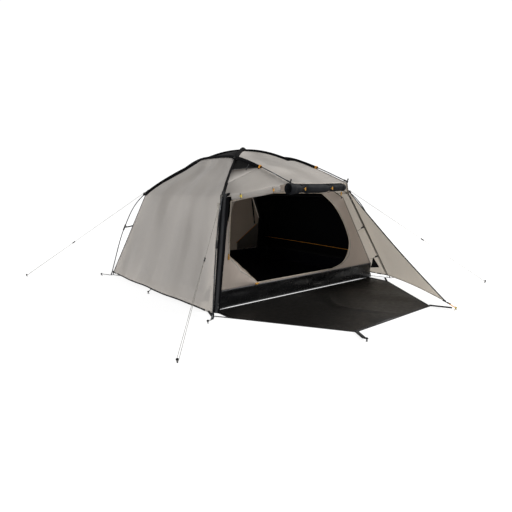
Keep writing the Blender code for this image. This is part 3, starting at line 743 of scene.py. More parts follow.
# --- fly: one canopy over the poles ---------------------------------------------------------------
BROW_Y, BROW_X = TIP_Y - 0.015, RIDGE_X + 0.014
SLEEVE_Y = FOOT_Y * SLEEVE_T
CENTRE_LINE = smooth_curve(((0, 1.404), (0.353, 1.290), (0.740, 1.187), (BROW_Y, 1.052)), 10)
T_TOP = np.r_[np.linspace(0, HUB_T, 9), np.linspace(HUB_T, SLEEVE_T, 25)[1:]]
T_LOW = np.linspace(SLEEVE_T, CORNER_T, 31)[1:]
Y_BROW = np.linspace(SLEEVE_Y, BROW_Y, 17)[1:]


def side_skin(side, t, v):
    """Fly of one side: t from the apex to the hem, v from the front pole (-1) to the back one (1)."""
    t, v = np.broadcast_arrays(np.asarray(t, float), np.asarray(v, float))
    s = np.clip((t - SLEEVE_T) / (CORNER_T - SLEEVE_T), 0, 1)
    edge = skin_z(np.minimum(t, SLEEVE_T)) * (1 - s) + HEM_Z * s
    under = np.where(t < HUB_T, (t / HUB_T) ** 3, np.clip(1 - (t - HUB_T) / 0.132, 0, 1) ** 1.5)
    z = edge + (ridge_skin_z(HUB_Y * v) - skin_z(HUB_T)) * under
    bow = 0.014 * (1 - v * v) * np.clip((t - HUB_T) / 0.1, 0, 1) * (1 - 2 * s)
    middle = 1 - np.abs(v)
    free = np.clip((t - HUB_T) / 0.08, 0, 1) * np.clip(middle / 0.12, 0, 1)
    q = np.stack([v * 2.2, t * 1.3], -1)
    folds = rough(q, 1.0, 3.0 + side) + 0.30 * rough(q * [2.6, 1.5], 1.0, 9.0 + side)
    pull = np.sin(34 * np.arctan2(1 - np.abs(v), 0.02 + np.abs(CORNER_T + 0.08 - t))) * np.exp(
        -np.hypot((1 - np.abs(v)) / 0.30, (CORNER_T - t) / 0.16))
    press = 0.030 * folds * free + 0.0035 * pull * np.clip(middle / 0.03, 0, 1)
    tuck = -0.006 * np.exp(-((t - SLEEVE_T) / 0.010) ** 2) * np.clip(middle / 0.05, 0, 1)
    # Slack never blows inward as far as the inner tent.
    inner_x = np.where(z < TUB_H + 0.02, TUB_X + 0.012, end_half_width(z) + 0.012)
    press = np.where(s > 0, np.maximum(press, -np.maximum(FOOT_X * t - bow - inner_x - 0.018, 0.0)), press)
    x = side * (FOOT_X * t - bow + press + tuck)
    return np.stack([x, FOOT_Y * t * v, z + 0.25 * press], -1)


def pole_edge(y):
    """Outer edge of a front or back roof at this distance out: the pole seam, then the brow."""
    s = np.clip((y - SLEEVE_Y) / (BROW_Y - SLEEVE_Y), 0, 1)
    t = np.minimum(y / FOOT_Y, SLEEVE_T)
    x = FOOT_X * t * (1 - s) + BROW_X * s
    return x, skin_z(t) * (1 - s) + ridge_skin_z(BROW_Y) * s


def ridge_edge(y):
    t = np.minimum(y / FOOT_Y, HUB_T)
    x = np.where(y < HUB_Y, FOOT_X * t, RIDGE_X + (FOOT_X * HUB_T - RIDGE_X) * np.exp(-(y - HUB_Y) / 0.02))
    s = np.clip((y - BROW_Y + 0.06) / 0.06, 0, 1)
    x = x + (BROW_X - RIDGE_X) * s * s
    return x, np.where(y < HUB_Y, skin_z(t), ridge_skin_z(np.maximum(y, HUB_Y)))


def centre_skin(end, y, u):
    """Roof between the ridge poles: y out from the apex, u from the left ridge (-1) to the right one."""
    y, u = np.broadcast_arrays(np.asarray(y, float), np.asarray(u, float))
    x, edge = ridge_edge(y)
    crown = np.interp(y, *CENTRE_LINE.T)
    free = np.clip((1 - u * u) / 0.2, 0, 1) * np.clip(y / 0.2, 0, 1)
    ripple = 0.004 * rough(np.stack([u * 1.6, y * 3.0], -1), 1.0, 5.0 + end) * free
    brow = 0.010 * (1 - u * u) * np.exp(-((y - BROW_Y) / 0.05) ** 2)
    return np.stack([x * u, end * y, edge + (crown - edge) * (1 - u * u) + ripple - brow], -1)


def flank_skin(side, end, y, w):
    """Roof between a ridge pole (w 0) and the pole seam or brow edge (w 1)."""
    y, w = np.broadcast_arrays(np.asarray(y, float), np.asarray(w, float))
    inner, outer = ridge_edge(y), pole_edge(y)
    arch = 4 * w * (1 - w)
    wide = np.clip((outer[0] - inner[0]) / 0.25, 0, 1)
    ripple = 0.006 * rough(np.stack([w * 2.2, y * 3.4], -1), 1.0, 11.0 + side + 2 * end) * arch * wide
    x = inner[0] * (1 - w) + outer[0] * w
    z = inner[1] * (1 - w) + outer[1] * w - 0.010 * arch * wide + ripple
    return np.stack([side * x, end * y, z], -1)


def build_canopy():
    bm = bmesh.new()
    v = np.sin(np.linspace(-0.5, 0.5, 61) * math.pi) * 0.5 + np.linspace(-0.5, 0.5, 61)
    t = np.r_[T_TOP, T_LOW]
    for side in (-1, 1):
        grid = side_skin(side, t[:, None], v[None])
        black = [[1 if row < len(T_TOP) - 25 else 0] * (len(v) - 1) for row in range(len(t) - 1)]
        add_grid(bm, grid, black, flip=side > 0)
    y_top = T_TOP * FOOT_Y
    y_all = np.r_[y_top, Y_BROW]
    y_out = y_all[8:]
    for end in (-1, 1):
        add_grid(bm, centre_skin(end, y_all[:, None], np.linspace(-1, 1, 25)[None]), 0, flip=end > 0)
        for side in (-1, 1):
            grid = flank_skin(side, end, y_out[:, None], np.linspace(0, 1, 13)[None])
            add_grid(bm, grid, 0, flip=side * end < 0)
    bmesh.ops.remove_doubles(bm, verts=bm.verts, dist=0.0007)
    bmesh.ops.dissolve_degenerate(bm, edges=bm.edges, dist=0.0002)
    agree(bm)
    face(bm, UP)
    obj = finish_mesh("canopy", bm, ["fly", "black", "fly_in", "black"])
    thicken(obj, 0.0014, 2)
    keep(obj, replaces=["fly_side_left", "fly_side_right", "fly_peak_left",
                                         "fly_peak_right", "fly_roof_front", "fly_roof_rear"])


FLY_CLOTH, INNER_CLOTH, BLACK_CLOTH = 0.0014, 0.0012, 0.0016     # thickness


def over(points, distance):
    """The same surface points moved out along their own normals, away from the tent's middle."""
    n = normals_of(points)
    middle = points.reshape(-1, 3).mean(0)
    if np.sum(n.reshape(-1, 3).mean(0) * (middle - vec(0, 0, 0.3))) < 0:
        n = -n
    return points + n * distance, n


def patch(name, points, material, distance=0.0016):
    raised, n = over(points, distance)
    return lay_sheet(name, raised, [material], INNER_CLOTH, n.reshape(-1, 3).mean(0))


def edge_band(name, points, n, width, material, lift=0.0016, thickness=0.001):
    return keep(ribbon(name, points, n, width, material, thickness, lift))


def lip_band(name, rows, width, material, lift, thickness):
    """A band along the first of two rows of points on the skin; the second gives its slope."""
    top, n = over(rows, 0.0)
    edge_band(name, top[0], n[0], width, material, lift, thickness)


def build_canopy_details():
    # The sleeves' black seam bands, and the gussets that widen them below each hub.
    t = np.linspace(0.02, SLEEVE_T, 60)
    s = np.clip((t - HUB_T) / 0.27, 0, 1)
    gusset = 0.038 * np.sin(np.pi * s) ** 0.8 * (1 - 0.4 * s)
    cols = np.linspace(0, 1, 6)[None]
    for corner, (sx, sy) in CORNERS.items():
        wide = 0.030 + gusset * 1.15 if sy > 0 else np.full_like(gusset, 0.022)
        share = np.minimum(wide / (FOOT_Y * t), 0.97)
        patch(f"sleeve_band_side_{corner}", side_skin(sx, t[:, None], sy * (1 - cols * share[:, None])),
              "black")
        wide = 0.021 + (0 if sy > 0 else gusset)
        y = t * FOOT_Y
        span = np.maximum(pole_edge(y)[0] - ridge_edge(y)[0], 1e-3)
        w = 1 - cols * np.minimum(wide / span, 0.97)[:, None]
        flank = flank_skin(sx, sy, y[:, None], w)
        near = centre_skin(sy, y[:, None], sx * (1 - cols * np.minimum(0.021 / (FOOT_X * t), 0.97)[:, None]))
        patch(f"sleeve_band_roof_{corner}", np.where((t < HUB_T)[:, None, None], near, flank), "black")
    # The vent under the left ridge pole: a mesh window and the hood that a strut holds up; the hood's colour
    # is painted shade.
    w = np.linspace(0.03, 0.97, 26)
    near = np.interp(w, (0.03, 0.27, 0.55, 0.97), (0.705, 0.620, 0.568, 0.500))
    far = np.interp(w, (0.03, 0.27, 0.53, 0.97), (0.727, 0.697, 0.680, 0.665))
    rows = np.linspace(0, 1, 10)[:, None]
    y = (HUB_Y + 0.012) * (1 - rows) + near * rows
    patch("roof_vent_mesh", flank_skin(-1, -1, y, w[None]), "mesh", 0.0030)
    y = near * (1 - rows) + far * rows
    grid = flank_skin(-1, -1, y, w[None])
    grid[..., 2] += 0.016 * np.sin(np.pi * (w - 0.03) / 0.94) * (1 - rows) ** 1.3
    # The hood's cloth is painted shade, darkest by the mesh window and fading to the fly grey.
    patch("roof_vent_hood", grid, "hood_shade", 0.0022)
    hood_edge, n = over(grid, 0.003)
    edge_band("roof_vent_hood_hem", hood_edge[0], n[0], 0.010, "hem", lift=0.0005)
    # Low vent of dark mesh inside each side panel, by the front feet.
    for word, side in SIDES:
        a, b, c = (0.966, -0.820), (0.960, -0.940), (0.926, -0.925)
        rows = np.linspace(0, 1, 9)[:, None]
        t = a[0] * (1 - rows) + c[0] * rows + (b[0] - a[0]) * (1 - rows) * np.linspace(0, 1, 9)[None]
        v = a[1] * (1 - rows) + c[1] * rows + (b[1] - a[1]) * (1 - rows) * np.linspace(0, 1, 9)[None]
        patch(f"low_vent_{word}", side_skin(side, t, v), "mesh", -0.0030)
    # Seam tapes where panels meet, and the bound hems and brow.
    for word, side in SIDES:
        v = np.linspace(-0.985, 0.985, 60)
        rows = side_skin(side, np.array([[SLEEVE_T - 0.004], [SLEEVE_T + 0.006]]), v[None])
        lip_band(f"side_seam_{word}", rows, 0.009, "fly", 0.0006, 0.0004)
        hem = side_skin(side, np.array([[CORNER_T - 0.0016], [CORNER_T - 0.0002]]), v[None])
        lip_band(f"side_hem_{word}", hem, 0.013, "hem", -0.0010, 0.0026)
        for place, end in ENDS:
            low = np.linspace(SLEEVE_T, CORNER_T, 30)
            rows = side_skin(side, low[None], np.array([[end * 0.990], [end * 0.999]]))
            lip_band(f"corner_edge_{place}_{word}", rows, 0.012, "hem", 0.0002, 0.0020)
            for part, y, wide, cloth_name in (("sleeved", np.linspace(HUB_Y + 0.02, SLEEVE_END_Y, 30), 0.036,
                                               "black"),
                                              ("bare", np.linspace(0.750, BROW_Y, 24), 0.010, "seam")):
                rows = flank_skin(side, end, y[None], np.array([[0.0], [0.03]]))
                lip_band(f"ridge_tape_{part}_{place}_{word}", rows, wide, cloth_name, 0.0012, 0.0010)
            y = np.linspace(SLEEVE_Y, BROW_Y, 24)
            rows = flank_skin(side, end, y[None], np.array([[0.97], [0.999]]))
            lip_band(f"brow_edge_{place}_{word}", rows, 0.016, "seam", 0.0002, 0.0018)
    for place, end in ENDS:
        rows = centre_skin(end, np.array([[BROW_Y - 0.010], [BROW_Y - 0.002]]), np.linspace(-1, 1, 40)[None])
        lip_band(f"brow_{place}", rows, 0.018, "seam", 0.0002, 0.0018)


# --- poles, sleeves and their fittings -------------------------------------------------------------
def main_line(corner, t):
    """Centreline of the main pole that ends at this corner."""
    sx, sy = CORNERS[corner]
    lift = (-CROSSING if corner in "ac" else CROSSING) * np.exp(-(t / HUB_T) ** 2 * 4.0)
    return np.stack([sx * FOOT_X * t, sy * FOOT_Y * t, main_z(t) + lift], -1)


def pole_point(corner, t):
    return main_line(corner, np.array([t]))[0]


def out_of_pole(corner, t):
    """Way out, square to the pole in its own upright plane."""
    sx, sy = CORNERS[corner]
    along = unit(pole_point(corner, t + 0.02) - pole_point(corner, t - 0.02))
    sideways = unit(np.cross(UP, vec(sx * FOOT_X, sy * FOOT_Y, 0)))
    up = unit(np.cross(sideways, along))
    return up if up[2] > 0 or np.dot(up[:2], (sx, sy)) > 0 else -up


def pole_tube(name, path, ferrules, node):
    keep(tube(name, path, POLE_R, "pole", 16), replaces=[node])
    length = arc(path)
    bm = bmesh.new()
    for share in ferrules:
        at = np.linspace(share * length[-1] - 0.035, share * length[-1] + 0.035, 8)
        piece = np.stack([np.interp(at, length, path[:, k]) for k in range(3)], -1)
        flare = np.array([0.90, 1.0, 1.0, 1.0, 1.0, 1.0, 1.0, 0.90])
        sweep(bm, piece, circle(POLE_R * 1.16, 16), scale=flare)
    moulded(f"{name}_ferrules", bm, ["ferrule"])


SLEEVE_SECTION = ((-0.0150, -0.0160), (-0.0100, -0.0135), (-0.0078, -0.0070), (-0.0086, 0.0),
                  (-0.0062, 0.0062),
                  (0.0, 0.0088), (0.0062, 0.0062), (0.0086, 0.0), (0.0078, -0.0070), (0.0100, -0.0135),
                  (0.0150, -0.0160), (0.0, -0.0128))


def sleeve(name, path, node):
    """Cloth sleeve: a tube round the pole on two flanges sewn to the skin, a little puckered."""
    pucker = 1 + 0.05 * rough(path * [9, 9, 9], 1.0, len(name)) + 0.03 * rough(path * [31, 31, 31], 1.0, 2.0)
    bm = bmesh.new()
    sweep(bm, path, SLEEVE_SECTION, side=(0, 0, 1), scale=np.stack([pucker, pucker], -1),
          normals=np.broadcast_to(UP, path.shape))
    moulded(name, bm, ["black"], replaces=[node])


def build_poles():
    for word, first, last in (("one", "a", "c"), ("two", "b", "d")):
        t = POLE_LINE[:, 0]
        path = np.array([pole_point(last if q >= 0 else first, abs(q)) for q in t])
        pole_tube(f"pole_main_{word}", path, (0.07, 0.20, 0.345, 0.5, 0.655, 0.80, 0.93), f"main_pole_{word}")
        inside = np.abs(t) <= SLEEVE_T + 1e-6
        sleeve(f"sleeve_main_{word}", path[inside], f"main_sleeve_{word}")
    for word, side in SIDES:
        path = np.array([(side * RIDGE_X, y, z) for y, z in RIDGE_LINE])
        pole_tube(f"pole_ridge_{word}", path, (0.09, 0.30, 0.5, 0.70, 0.91), f"ridge_pole_{word}")
        inside = np.abs(path[:, 1]) <= 0.740 + 1e-6
        sleeve(f"sleeve_ridge_{word}", path[inside], f"ridge_sleeve_{word}")


def rounded(bm, centre, x, y, size, bevel=0.25, segments=3, material=0):
    """Block with rounded edges: size along x, y and their normal."""
    made = bmesh.ops.create_cube(bm, size=1.0)["verts"]
    bmesh.ops.scale(bm, vec=size, verts=made)
    edges = {e for v in made for e in v.link_edges}
    done = bmesh.ops.bevel(bm, geom=list(edges), offset=min(size) * bevel, segments=segments, affect="EDGES")
    verts = {v for f in done["faces"] for v in f.verts} | {v for v in made if v.is_valid}
    x, y = Vector(x).normalized(), Vector(y)
    z = x.cross(y).normalized()
    turn = Matrix((x, z.cross(x), z)).transposed().to_4x4()
    bmesh.ops.transform(bm, matrix=Matrix.Translation(centre) @ turn, verts=list(verts))
    for v in verts:
        for f in v.link_faces:
            f.material_index = material


def block(name, centre, x, y, size, material, bevel=0.25):
    bm = bmesh.new()
    rounded(bm, centre, x, y, size, bevel)
    return finish_mesh(name, bm, [material])


def lathe(bm, profile, place, up, sides=20, material=0):
    """Solid of revolution from (radius, height) pairs about an axis through a place."""
    up = unit(up)
    side = unit(np.cross(up, vec(0.3, 1, 0.1)))
    other = np.cross(up, side)
    a = np.linspace(0, 2 * np.pi, sides, endpoint=False)
    p = np.array(profile, float)
    ring = np.cos(a)[:, None] * side + np.sin(a)[:, None] * other
    grid = np.asarray(place)[None, None] + up * p[:, 1][:, None, None] + ring[None] * p[:, 0][:, None, None]
    add_grid(bm, grid, material, closed=True)


def build_pole_fittings():
    for corner, (sx, sy) in CORNERS.items():
        end = out_of_pole(corner, SLEEVE_T)
        t = np.linspace(SLEEVE_T - 0.030, SLEEVE_T + 0.012, 10)
        path = main_line(corner, t)
        bm = bmesh.new()
        swell = 1 + 0.16 * np.sin(np.linspace(0, 1, 10) * math.pi * 3) ** 2
        sweep(bm, path, circle(0.0115, 16), scale=swell)
        moulded(f"sleeve_cuff_{corner}", bm, ["web"])
        # The ring that the guyline is tied to.
        mid = pole_point(corner, SLEEVE_T)
        ring_centre = mid + end * RING_OUT
        loop = hoop(ring_centre, end, unit(path[-1] - path[0]), 0.0065, np.linspace(0, 2 * np.pi, 21))
        cord_tube(f"guy_ring_{corner}", loop, 0.0016, "plastic")
        # Clip: a hook on the pole and its strap to the fly edge.
        hook = pole_point(corner, CLIP_T)
        s = (0.590 - HEM_Z) / (skin_z(SLEEVE_T) - HEM_Z)
        edge_t = SLEEVE_T + (CORNER_T - SLEEVE_T) * (1 - s)
        anchor = side_skin(sx, edge_t, sy * 0.985)
        to_fly = line(hook, anchor, 10, 0.003)
        flat = unit(np.cross(anchor - hook, UP))
        strap(f"clip_strap_{corner}", to_fly, flat, 0.014)
        bm = bmesh.new()
        near = main_line(corner, np.linspace(CLIP_T - 0.009, CLIP_T + 0.009, 5))
        sweep(bm, near, circle(0.0088, 14))
        rounded(bm, mix(hook, anchor, 0.20), anchor - hook, UP, (0.024, 0.014, 0.008))
        moulded(f"pole_clip_{corner}", bm, ["plastic"])
        # Foot: a webbing strap with a grommet takes the pole tip, and a loop runs on to the peg.
        foot = pole_point(corner, 1.0) + vec(0, 0, 0.004)
        hem = side_skin(sx, CORNER_T, sy * 0.995)
        out = unit(vec(sx * FOOT_X, sy * FOOT_Y, 0))
        tab_end = foot + out * 0.022
        under = np.vstack([line(hem + vec(0, 0, 0.02), at_height(hem, 0.012), 6)[:-1],
                           line(at_height(hem, 0.010), at_height(tab_end, 0.006), 8)])
        strap(f"foot_strap_{corner}", under, np.cross(unit(np.gradient(under, axis=0)), np.cross(out, UP)),
              0.024)
        bm = bmesh.new()
        lathe(bm, ((0.0055, 0.0), (0.0105, 0.0), (0.0115, 0.0016), (0.0105, 0.0032), (0.0055, 0.0032),
                   (0.0055, 0.0)),
              at_height(foot, 0.0075), UP)
        lathe(bm, ((0.0001, -0.006), (0.0048, -0.005), (0.0060, 0.0), (0.0060, 0.022), (0.0050, 0.026),
                   (0.0001, 0.0262)),
              foot, unit(pole_point(corner, 0.97) - foot))
        moulded(f"pole_foot_{corner}", bm, ["ferrule"])
        peg_at = vec(sx * (FOOT_X + CORNER_PEG[0]), sy * (FOOT_Y + CORNER_PEG[1]), 0.020)
        across = vec(-out[1], out[0], 0)
        back, fore = at_height(tab_end, 0.008), peg_at + out * 0.006
        loop = np.vstack([line(back + across * 0.006, fore + across * 0.005, 10),
                          fore + out * 0.004, line(fore - across * 0.005, back - across * 0.006, 10)])
        cord_tube(f"foot_loop_{corner}", loop, 0.0018, "shock")
    # Hub straps where the ridge poles cross the main poles, and the nub on the apex.
    for corner, (sx, sy) in CORNERS.items():
        hub = vec(sx * FOOT_X * HUB_T, sy * FOOT_Y * HUB_T, main_z(HUB_T) + 0.010)
        bm = bmesh.new()
        rounded(bm, hub, vec(1, 0, 0), vec(0, 1, 0), (0.026, 0.030, 0.012))
        rounded(bm, hub + vec(0, 0, 0.012), vec(1, 0, 0), vec(0, 1, 0), (0.012, 0.036, 0.005))
        keep(finish_mesh(f"pole_hub_{corner}", bm, ["plastic"]))
    bm = bmesh.new()
    lathe(bm, ((0.0001, -0.016), (0.013, -0.014), (0.014, 0.0), (0.012, 0.009), (0.0001, 0.0105)),
          (0, 0, APEX_Z + 0.003), (0, 0, 1))
    keep(finish_mesh("apex_nub", bm, ["plastic"]))
    # Ridge tips: an elbow that the pole plugs into, a nub that stands off the brow, an orange tab.
    for word, side in SIDES:
        for place, end in ENDS:
            tip = vec(side * RIDGE_X, end * TIP_Y, ridge_z(TIP_Y))
            back = vec(side * RIDGE_X, end * (TIP_Y - 0.05), ridge_z(TIP_Y - 0.05))
            run = unit(tip - back)
            up = unit(np.cross(run, vec(side, 0, 0)))
            up = up if up[2] > 0 else -up
            bm = bmesh.new()
            sweep(bm, line(back + run * 0.012, tip + run * 0.010, 6), circle(0.0078, 14))
            sweep(bm, line(tip - up * 0.014, tip + up * 0.030, 6) + run * 0.004, circle(0.0070, 14),
                  scale=(1.1, 1.0, 0.9, 0.8, 0.95, 0.9))
            moulded(f"ridge_elbow_{place}_{word}", bm, ["plastic"])
            at = vec(side * RIDGE_X, end * SLEEVE_END_Y, ridge_z(SLEEVE_END_Y))
            a = np.linspace(-0.3, np.pi + 0.3, 14)
            wrap = at + np.cos(a)[:, None] * vec(0.0112, 0, 0) + np.sin(a)[:, None] * up * 0.0112
            outward = unit(wrap - at)
            wrap = np.vstack([at - up * 0.016 + vec(0.012, 0, 0), wrap, at - up * 0.016 - vec(0.012, 0, 0)])
            outward = np.vstack([outward[0], outward, outward[-1]])
            strap(f"ridge_tab_{place}_{word}", wrap, outward, 0.024, "orange", 0.0020)


# --- vestibules -------------------------------------------------------------------------------------
def brow_line(side, end, share):
    a = vec(side * FOOT_X * SLEEVE_T, end * SLEEVE_Y, skin_z(SLEEVE_T))
    b = vec(side * BROW_X, end * BROW_Y, ridge_skin_z(BROW_Y))
    return mix(a, b, share)


def hem_point(corner):
    sx, sy = CORNERS[corner]
    return vec(sx * FOOT_X * CORNER_T, sy * FOOT_Y * CORNER_T, HEM_Z)


def build_rear_vestibule():
    top = brow_line(-1, 1, np.linspace(0.0, 1.0, 21))
    mid = centre_skin(1, np.full(25, BROW_Y), np.linspace(-1, 1, 25))[1:-1]
    top = np.vstack([top, mid, (top * [-1, 1, 1])[::-1]]) + vec(0, 0.001, -0.003)
    out_x, out_y = VESTIBULE
    peg = vec(-out_x + 0.06, out_y - 0.07, HEM_Z)
    low = np.vstack([mix(hem_point("a"), peg, np.linspace(0, 1, 21)),
                     mix(peg, peg * [-1, 1, 1], np.linspace(0, 1, 25))[1:-1],
                     mix(peg * [-1, 1, 1], hem_point("d"), np.linspace(0, 1, 21))])
    s = np.linspace(0, 1, 46)[:, None]
    grid = top[None] * (1 - s[..., None]) + low[None] * s[..., None]
    sag = 0.035 * 4 * s * (1 - s)
    grid[..., 1] -= sag
    u = np.linspace(-1, 1, len(top))[None]
    q = np.stack(np.broadcast_arrays(u * 5.0, s * 2.0), -1)
    free = 4 * s * (1 - s) * np.clip((1 - np.abs(u)) / 0.1, 0, 1)
    n = normals_of(grid)
    grid = grid + n * (0.014 * rough(q, 1.0, 21.0) * free)[..., None]
    lay_sheet("rear_vestibule_sheet", grid, ["fly", "fly_in"], FLY_CLOTH, (0, 1, 0),
              ["rear_vestibule"])
    _, n = over(grid, 0.0)
    edge_band("rear_vestibule_hem", grid[-1] + vec(0, 0, 0.006), n[-1], 0.020, "hem", 0.0002, 0.0022)
    column = 32
    edge_band("rear_vestibule_zip", grid[1:-1, column], n[1:-1, column], 0.030, "zip", 0.0012, 0.0014)
    edge_band("rear_vestibule_flap", grid[1:-1, column] + vec(0.020, 0, 0), n[1:-1, column], 0.014, "hem",
              0.0030, 0.0012)
    for word, sx in SIDES:
        tip = vec(sx * -peg[0], peg[1], peg[2] - 0.004)
        goal = vec(sx * 0.610, 2.215 - 0.004, PEG_HEAD_Z - 0.010)
        strap(f"rear_strap_{word}", line(tip, goal, 8), UP, 0.014)
        edge_band(f"rear_corner_seam_{word}", grid[2:-1, 20 if sx < 0 else -21],
                  n[2:-1, 20 if sx < 0 else -21],
                  0.012, "seam", 0.0012, 0.0007)


WING_TOP = vec(0, -0.010, -0.008)


def wing_surface(s, u):
    """Front wing: s from the brow to the ground, u from the corner seam (0) to the free edge (1)."""
    s, u = np.broadcast_arrays(np.asarray(s, float), np.asarray(u, float))
    top = brow_line(1, -1, 0.28 * u) + WING_TOP
    foot = hem_point("c") + vec(0, -0.004, 0)
    peg = vec(VESTIBULE[0] - 0.067, -VESTIBULE[1] + 0.080, 0.060)
    low = mix(foot, peg, u)
    low[..., 2] += 0.015 * np.sin(np.pi * u)
    hang = unit(foot - peg)
    p = top * (1 - s[..., None]) + low * s[..., None] + hang * (0.058 * 4 * s * (1 - s) * u ** 1.3)[..., None]
    q = np.stack([u * 2.4, s * 1.6], -1)
    free = np.clip(u / 0.15, 0, 1) * np.sin(np.pi * s) ** 0.6
    n = vec(0.75, -0.6, 0.25)
    return p + n * (0.012 * rough(q, 1.0, 31.0) * free)[..., None]


def build_front_wing():
    s, u = np.linspace(0, 1, 56), np.linspace(0, 1, 24)
    grid = wing_surface(s[:, None], u[None])
    lay_sheet("front_wing_sheet", grid, ["fly", "fly_in"], FLY_CLOTH, (1, 0, 0), ["front_wing"])
    n = normals_of(grid)
    n = n if n[..., 0].mean() > 0 else -n
    strap("wing_zip", grid[:, -1], n[:, -1], 0.026, "zip", 0.0022, -0.0011)
    strap("wing_hem", grid[-1] + vec(0, 0, 0.006), n[-1], 0.018, "hem", 0.0026, -0.0013)
    strap("wing_corner_seam", grid[:, 0], n[:, 0], 0.026, "hem", 0.0030, -0.0015)
    # Hooks that tie the inner tent's front edge to the corner seams.
    for corner, (sx, sy) in CORNERS.items():
        for k, z in enumerate((0.573, 0.250)):
            share = (skin_z(SLEEVE_T) - z) / (skin_z(SLEEVE_T) - HEM_Z)
            t = SLEEVE_T + (CORNER_T - SLEEVE_T) * share
            seam_at = vec(sx * FOOT_X * t, sy * FOOT_Y * t, z) * [0.994, 0.994, 1]
            wall_edge = vec(sx * (end_half_width(z - 0.05) + 0.004), sy * (TUB_Y - lean(z - 0.05)), z - 0.05)
            strap(f"inner_hook_strap_{corner}_{k}", line(seam_at, wall_edge, 8, 0.004), (0, 0, 1), 0.016)
            run = unit(wall_edge - seam_at)
            keep(block(f"inner_hook_{corner}_{k}", seam_at + run * 0.018, run, UP, (0.030, 0.016, 0.010),
                       "plastic"))


def build_zip_flap():
    top = brow_line(-1, -1, -0.012) + vec(0, -0.012, -0.004)
    foot = hem_point("b") + vec(0, -0.004, 0.012)
    along_brow = unit(brow_line(-1, -1, 1.0) - top)
    top = top - along_brow * 0.020
    along_brow = along_brow * 0.084
    towards = unit(vec(-VESTIBULE[0], -VESTIBULE[1], HEM_Z) - foot) * 0.056
    s = np.linspace(-0.045, 1, 42)
    left, right = mix(top, foot, s), mix(top + along_brow, foot + towards, s)
    u = np.linspace(0, 1, 9)
    grid = left[:, None] * (1 - u[None, :, None]) + right[:, None] * u[None, :, None]
    n = normals_of(grid)
    n = n if n[..., 1].mean() < 0 else -n
    wave = 0.0022 * np.sin(s * 21)[:, None] * u[None] + 0.002 * np.sin(np.pi * u)[None]
    grid = grid + n * wave[..., None]
    lay_sheet("zip_flap_sheet", grid, ["black"], BLACK_CLOTH, replaces=["zip_flap"])
    strap("fly_zip", grid[:, 4], n[:, 4], 0.026, "zip", 0.0020, 0.0010)
    strap("flap_margin", (left - unit(towards) * 0.012)[3:], n[3:, 0], 0.026, "seam", 0.0012, 0.0002)


# --- rolled doors ----------------------------------------------------------------------------------
WING_ROLL_R, DOOR_ROLL_R = 0.027, 0.042
TOGGLE_SHARES = {"wing": (0.19, 0.86), "door": (0.215, 0.70)}
DOOR_ROLL_X = (-0.415, 0.275)


def wing_roll_line(s):
    a = brow_line(-1, -1, 0.12) + vec(-0.014, -0.040, -0.002)
    b = brow_line(-1, -1, 0.86) + vec(-0.014, -0.040, -0.022)
    return line(a, b, len(s), 0.008) if len(s) > 1 else mix(a, b, s)


def roll(name, path, radius, pinches, material, seed, node, slot, squeeze=0.20, flare=0.0, taper=0.0):
    """Cloth rolled up tight: a spiral in section, pinched at its ties, with slack creases between."""
    share = np.linspace(0, 1, len(path))
    _, across, up = frames_along(path, (0, 0, 1))
    turns = 2.6
    a = np.linspace(0, 2 * np.pi * turns, int(40 * turns))
    spiral = 1.0 - 0.16 * (a / a[-1])[::-1] * turns / 2
    spiral = np.clip(spiral, 0.45, 1.0)
    pinch = np.ones(len(path))
    for p in pinches:
        pinch -= squeeze * np.exp(-((share - p) / 0.050) ** 2)
    pinch *= 1 - taper * share ** 2
    pinch *= 1 + (flare - 0.10) * np.exp(-(share / 0.05) ** 2) - 0.10 * np.exp(-((1 - share) / 0.03) ** 2)
    crease = np.array([[noise.noise(Vector((math.cos(q) * 1.3, math.sin(q) * 1.3, at * 7 + seed)))
                        for q in a] for at in share])
    radii = radius * pinch[:, None] * spiral * (1 + 0.10 * crease)
    padded_roll(name, spiral_grid(path, across, up, a, radii), material, BLACK_CLOTH, node)


def tie_loop(name, centre, along, radius, facing, material="shock"):
    """Elastic loop round a roll, drawn through the middle of its toggle."""
    side = unit(np.cross(along, facing))
    facing = unit(np.cross(side, along))
    ring = hoop(centre, facing, side, radius, np.linspace(0, 2 * np.pi, 33))
    cord_tube(name, ring, 0.0022, material)


def toggle(name, centre, material):
    """Barrel toggle with a waist and a cord hole, upright at rest."""
    bm = bmesh.new()
    profile = ((0.0001, -0.0140), (0.0030, -0.0136), (0.0044, -0.0118), (0.0046, -0.0070), (0.0036, -0.0030),
               (0.0034, 0.0),
               (0.0036, 0.0030), (0.0046, 0.0070), (0.0044, 0.0118), (0.0030, 0.0136), (0.0001, 0.0140))
    lathe(bm, profile, centre, (0, 0, 1), 20)
    agree(bm)
    keep(finish_mesh(f"{name}_barrel", bm, [material]), name, [name])


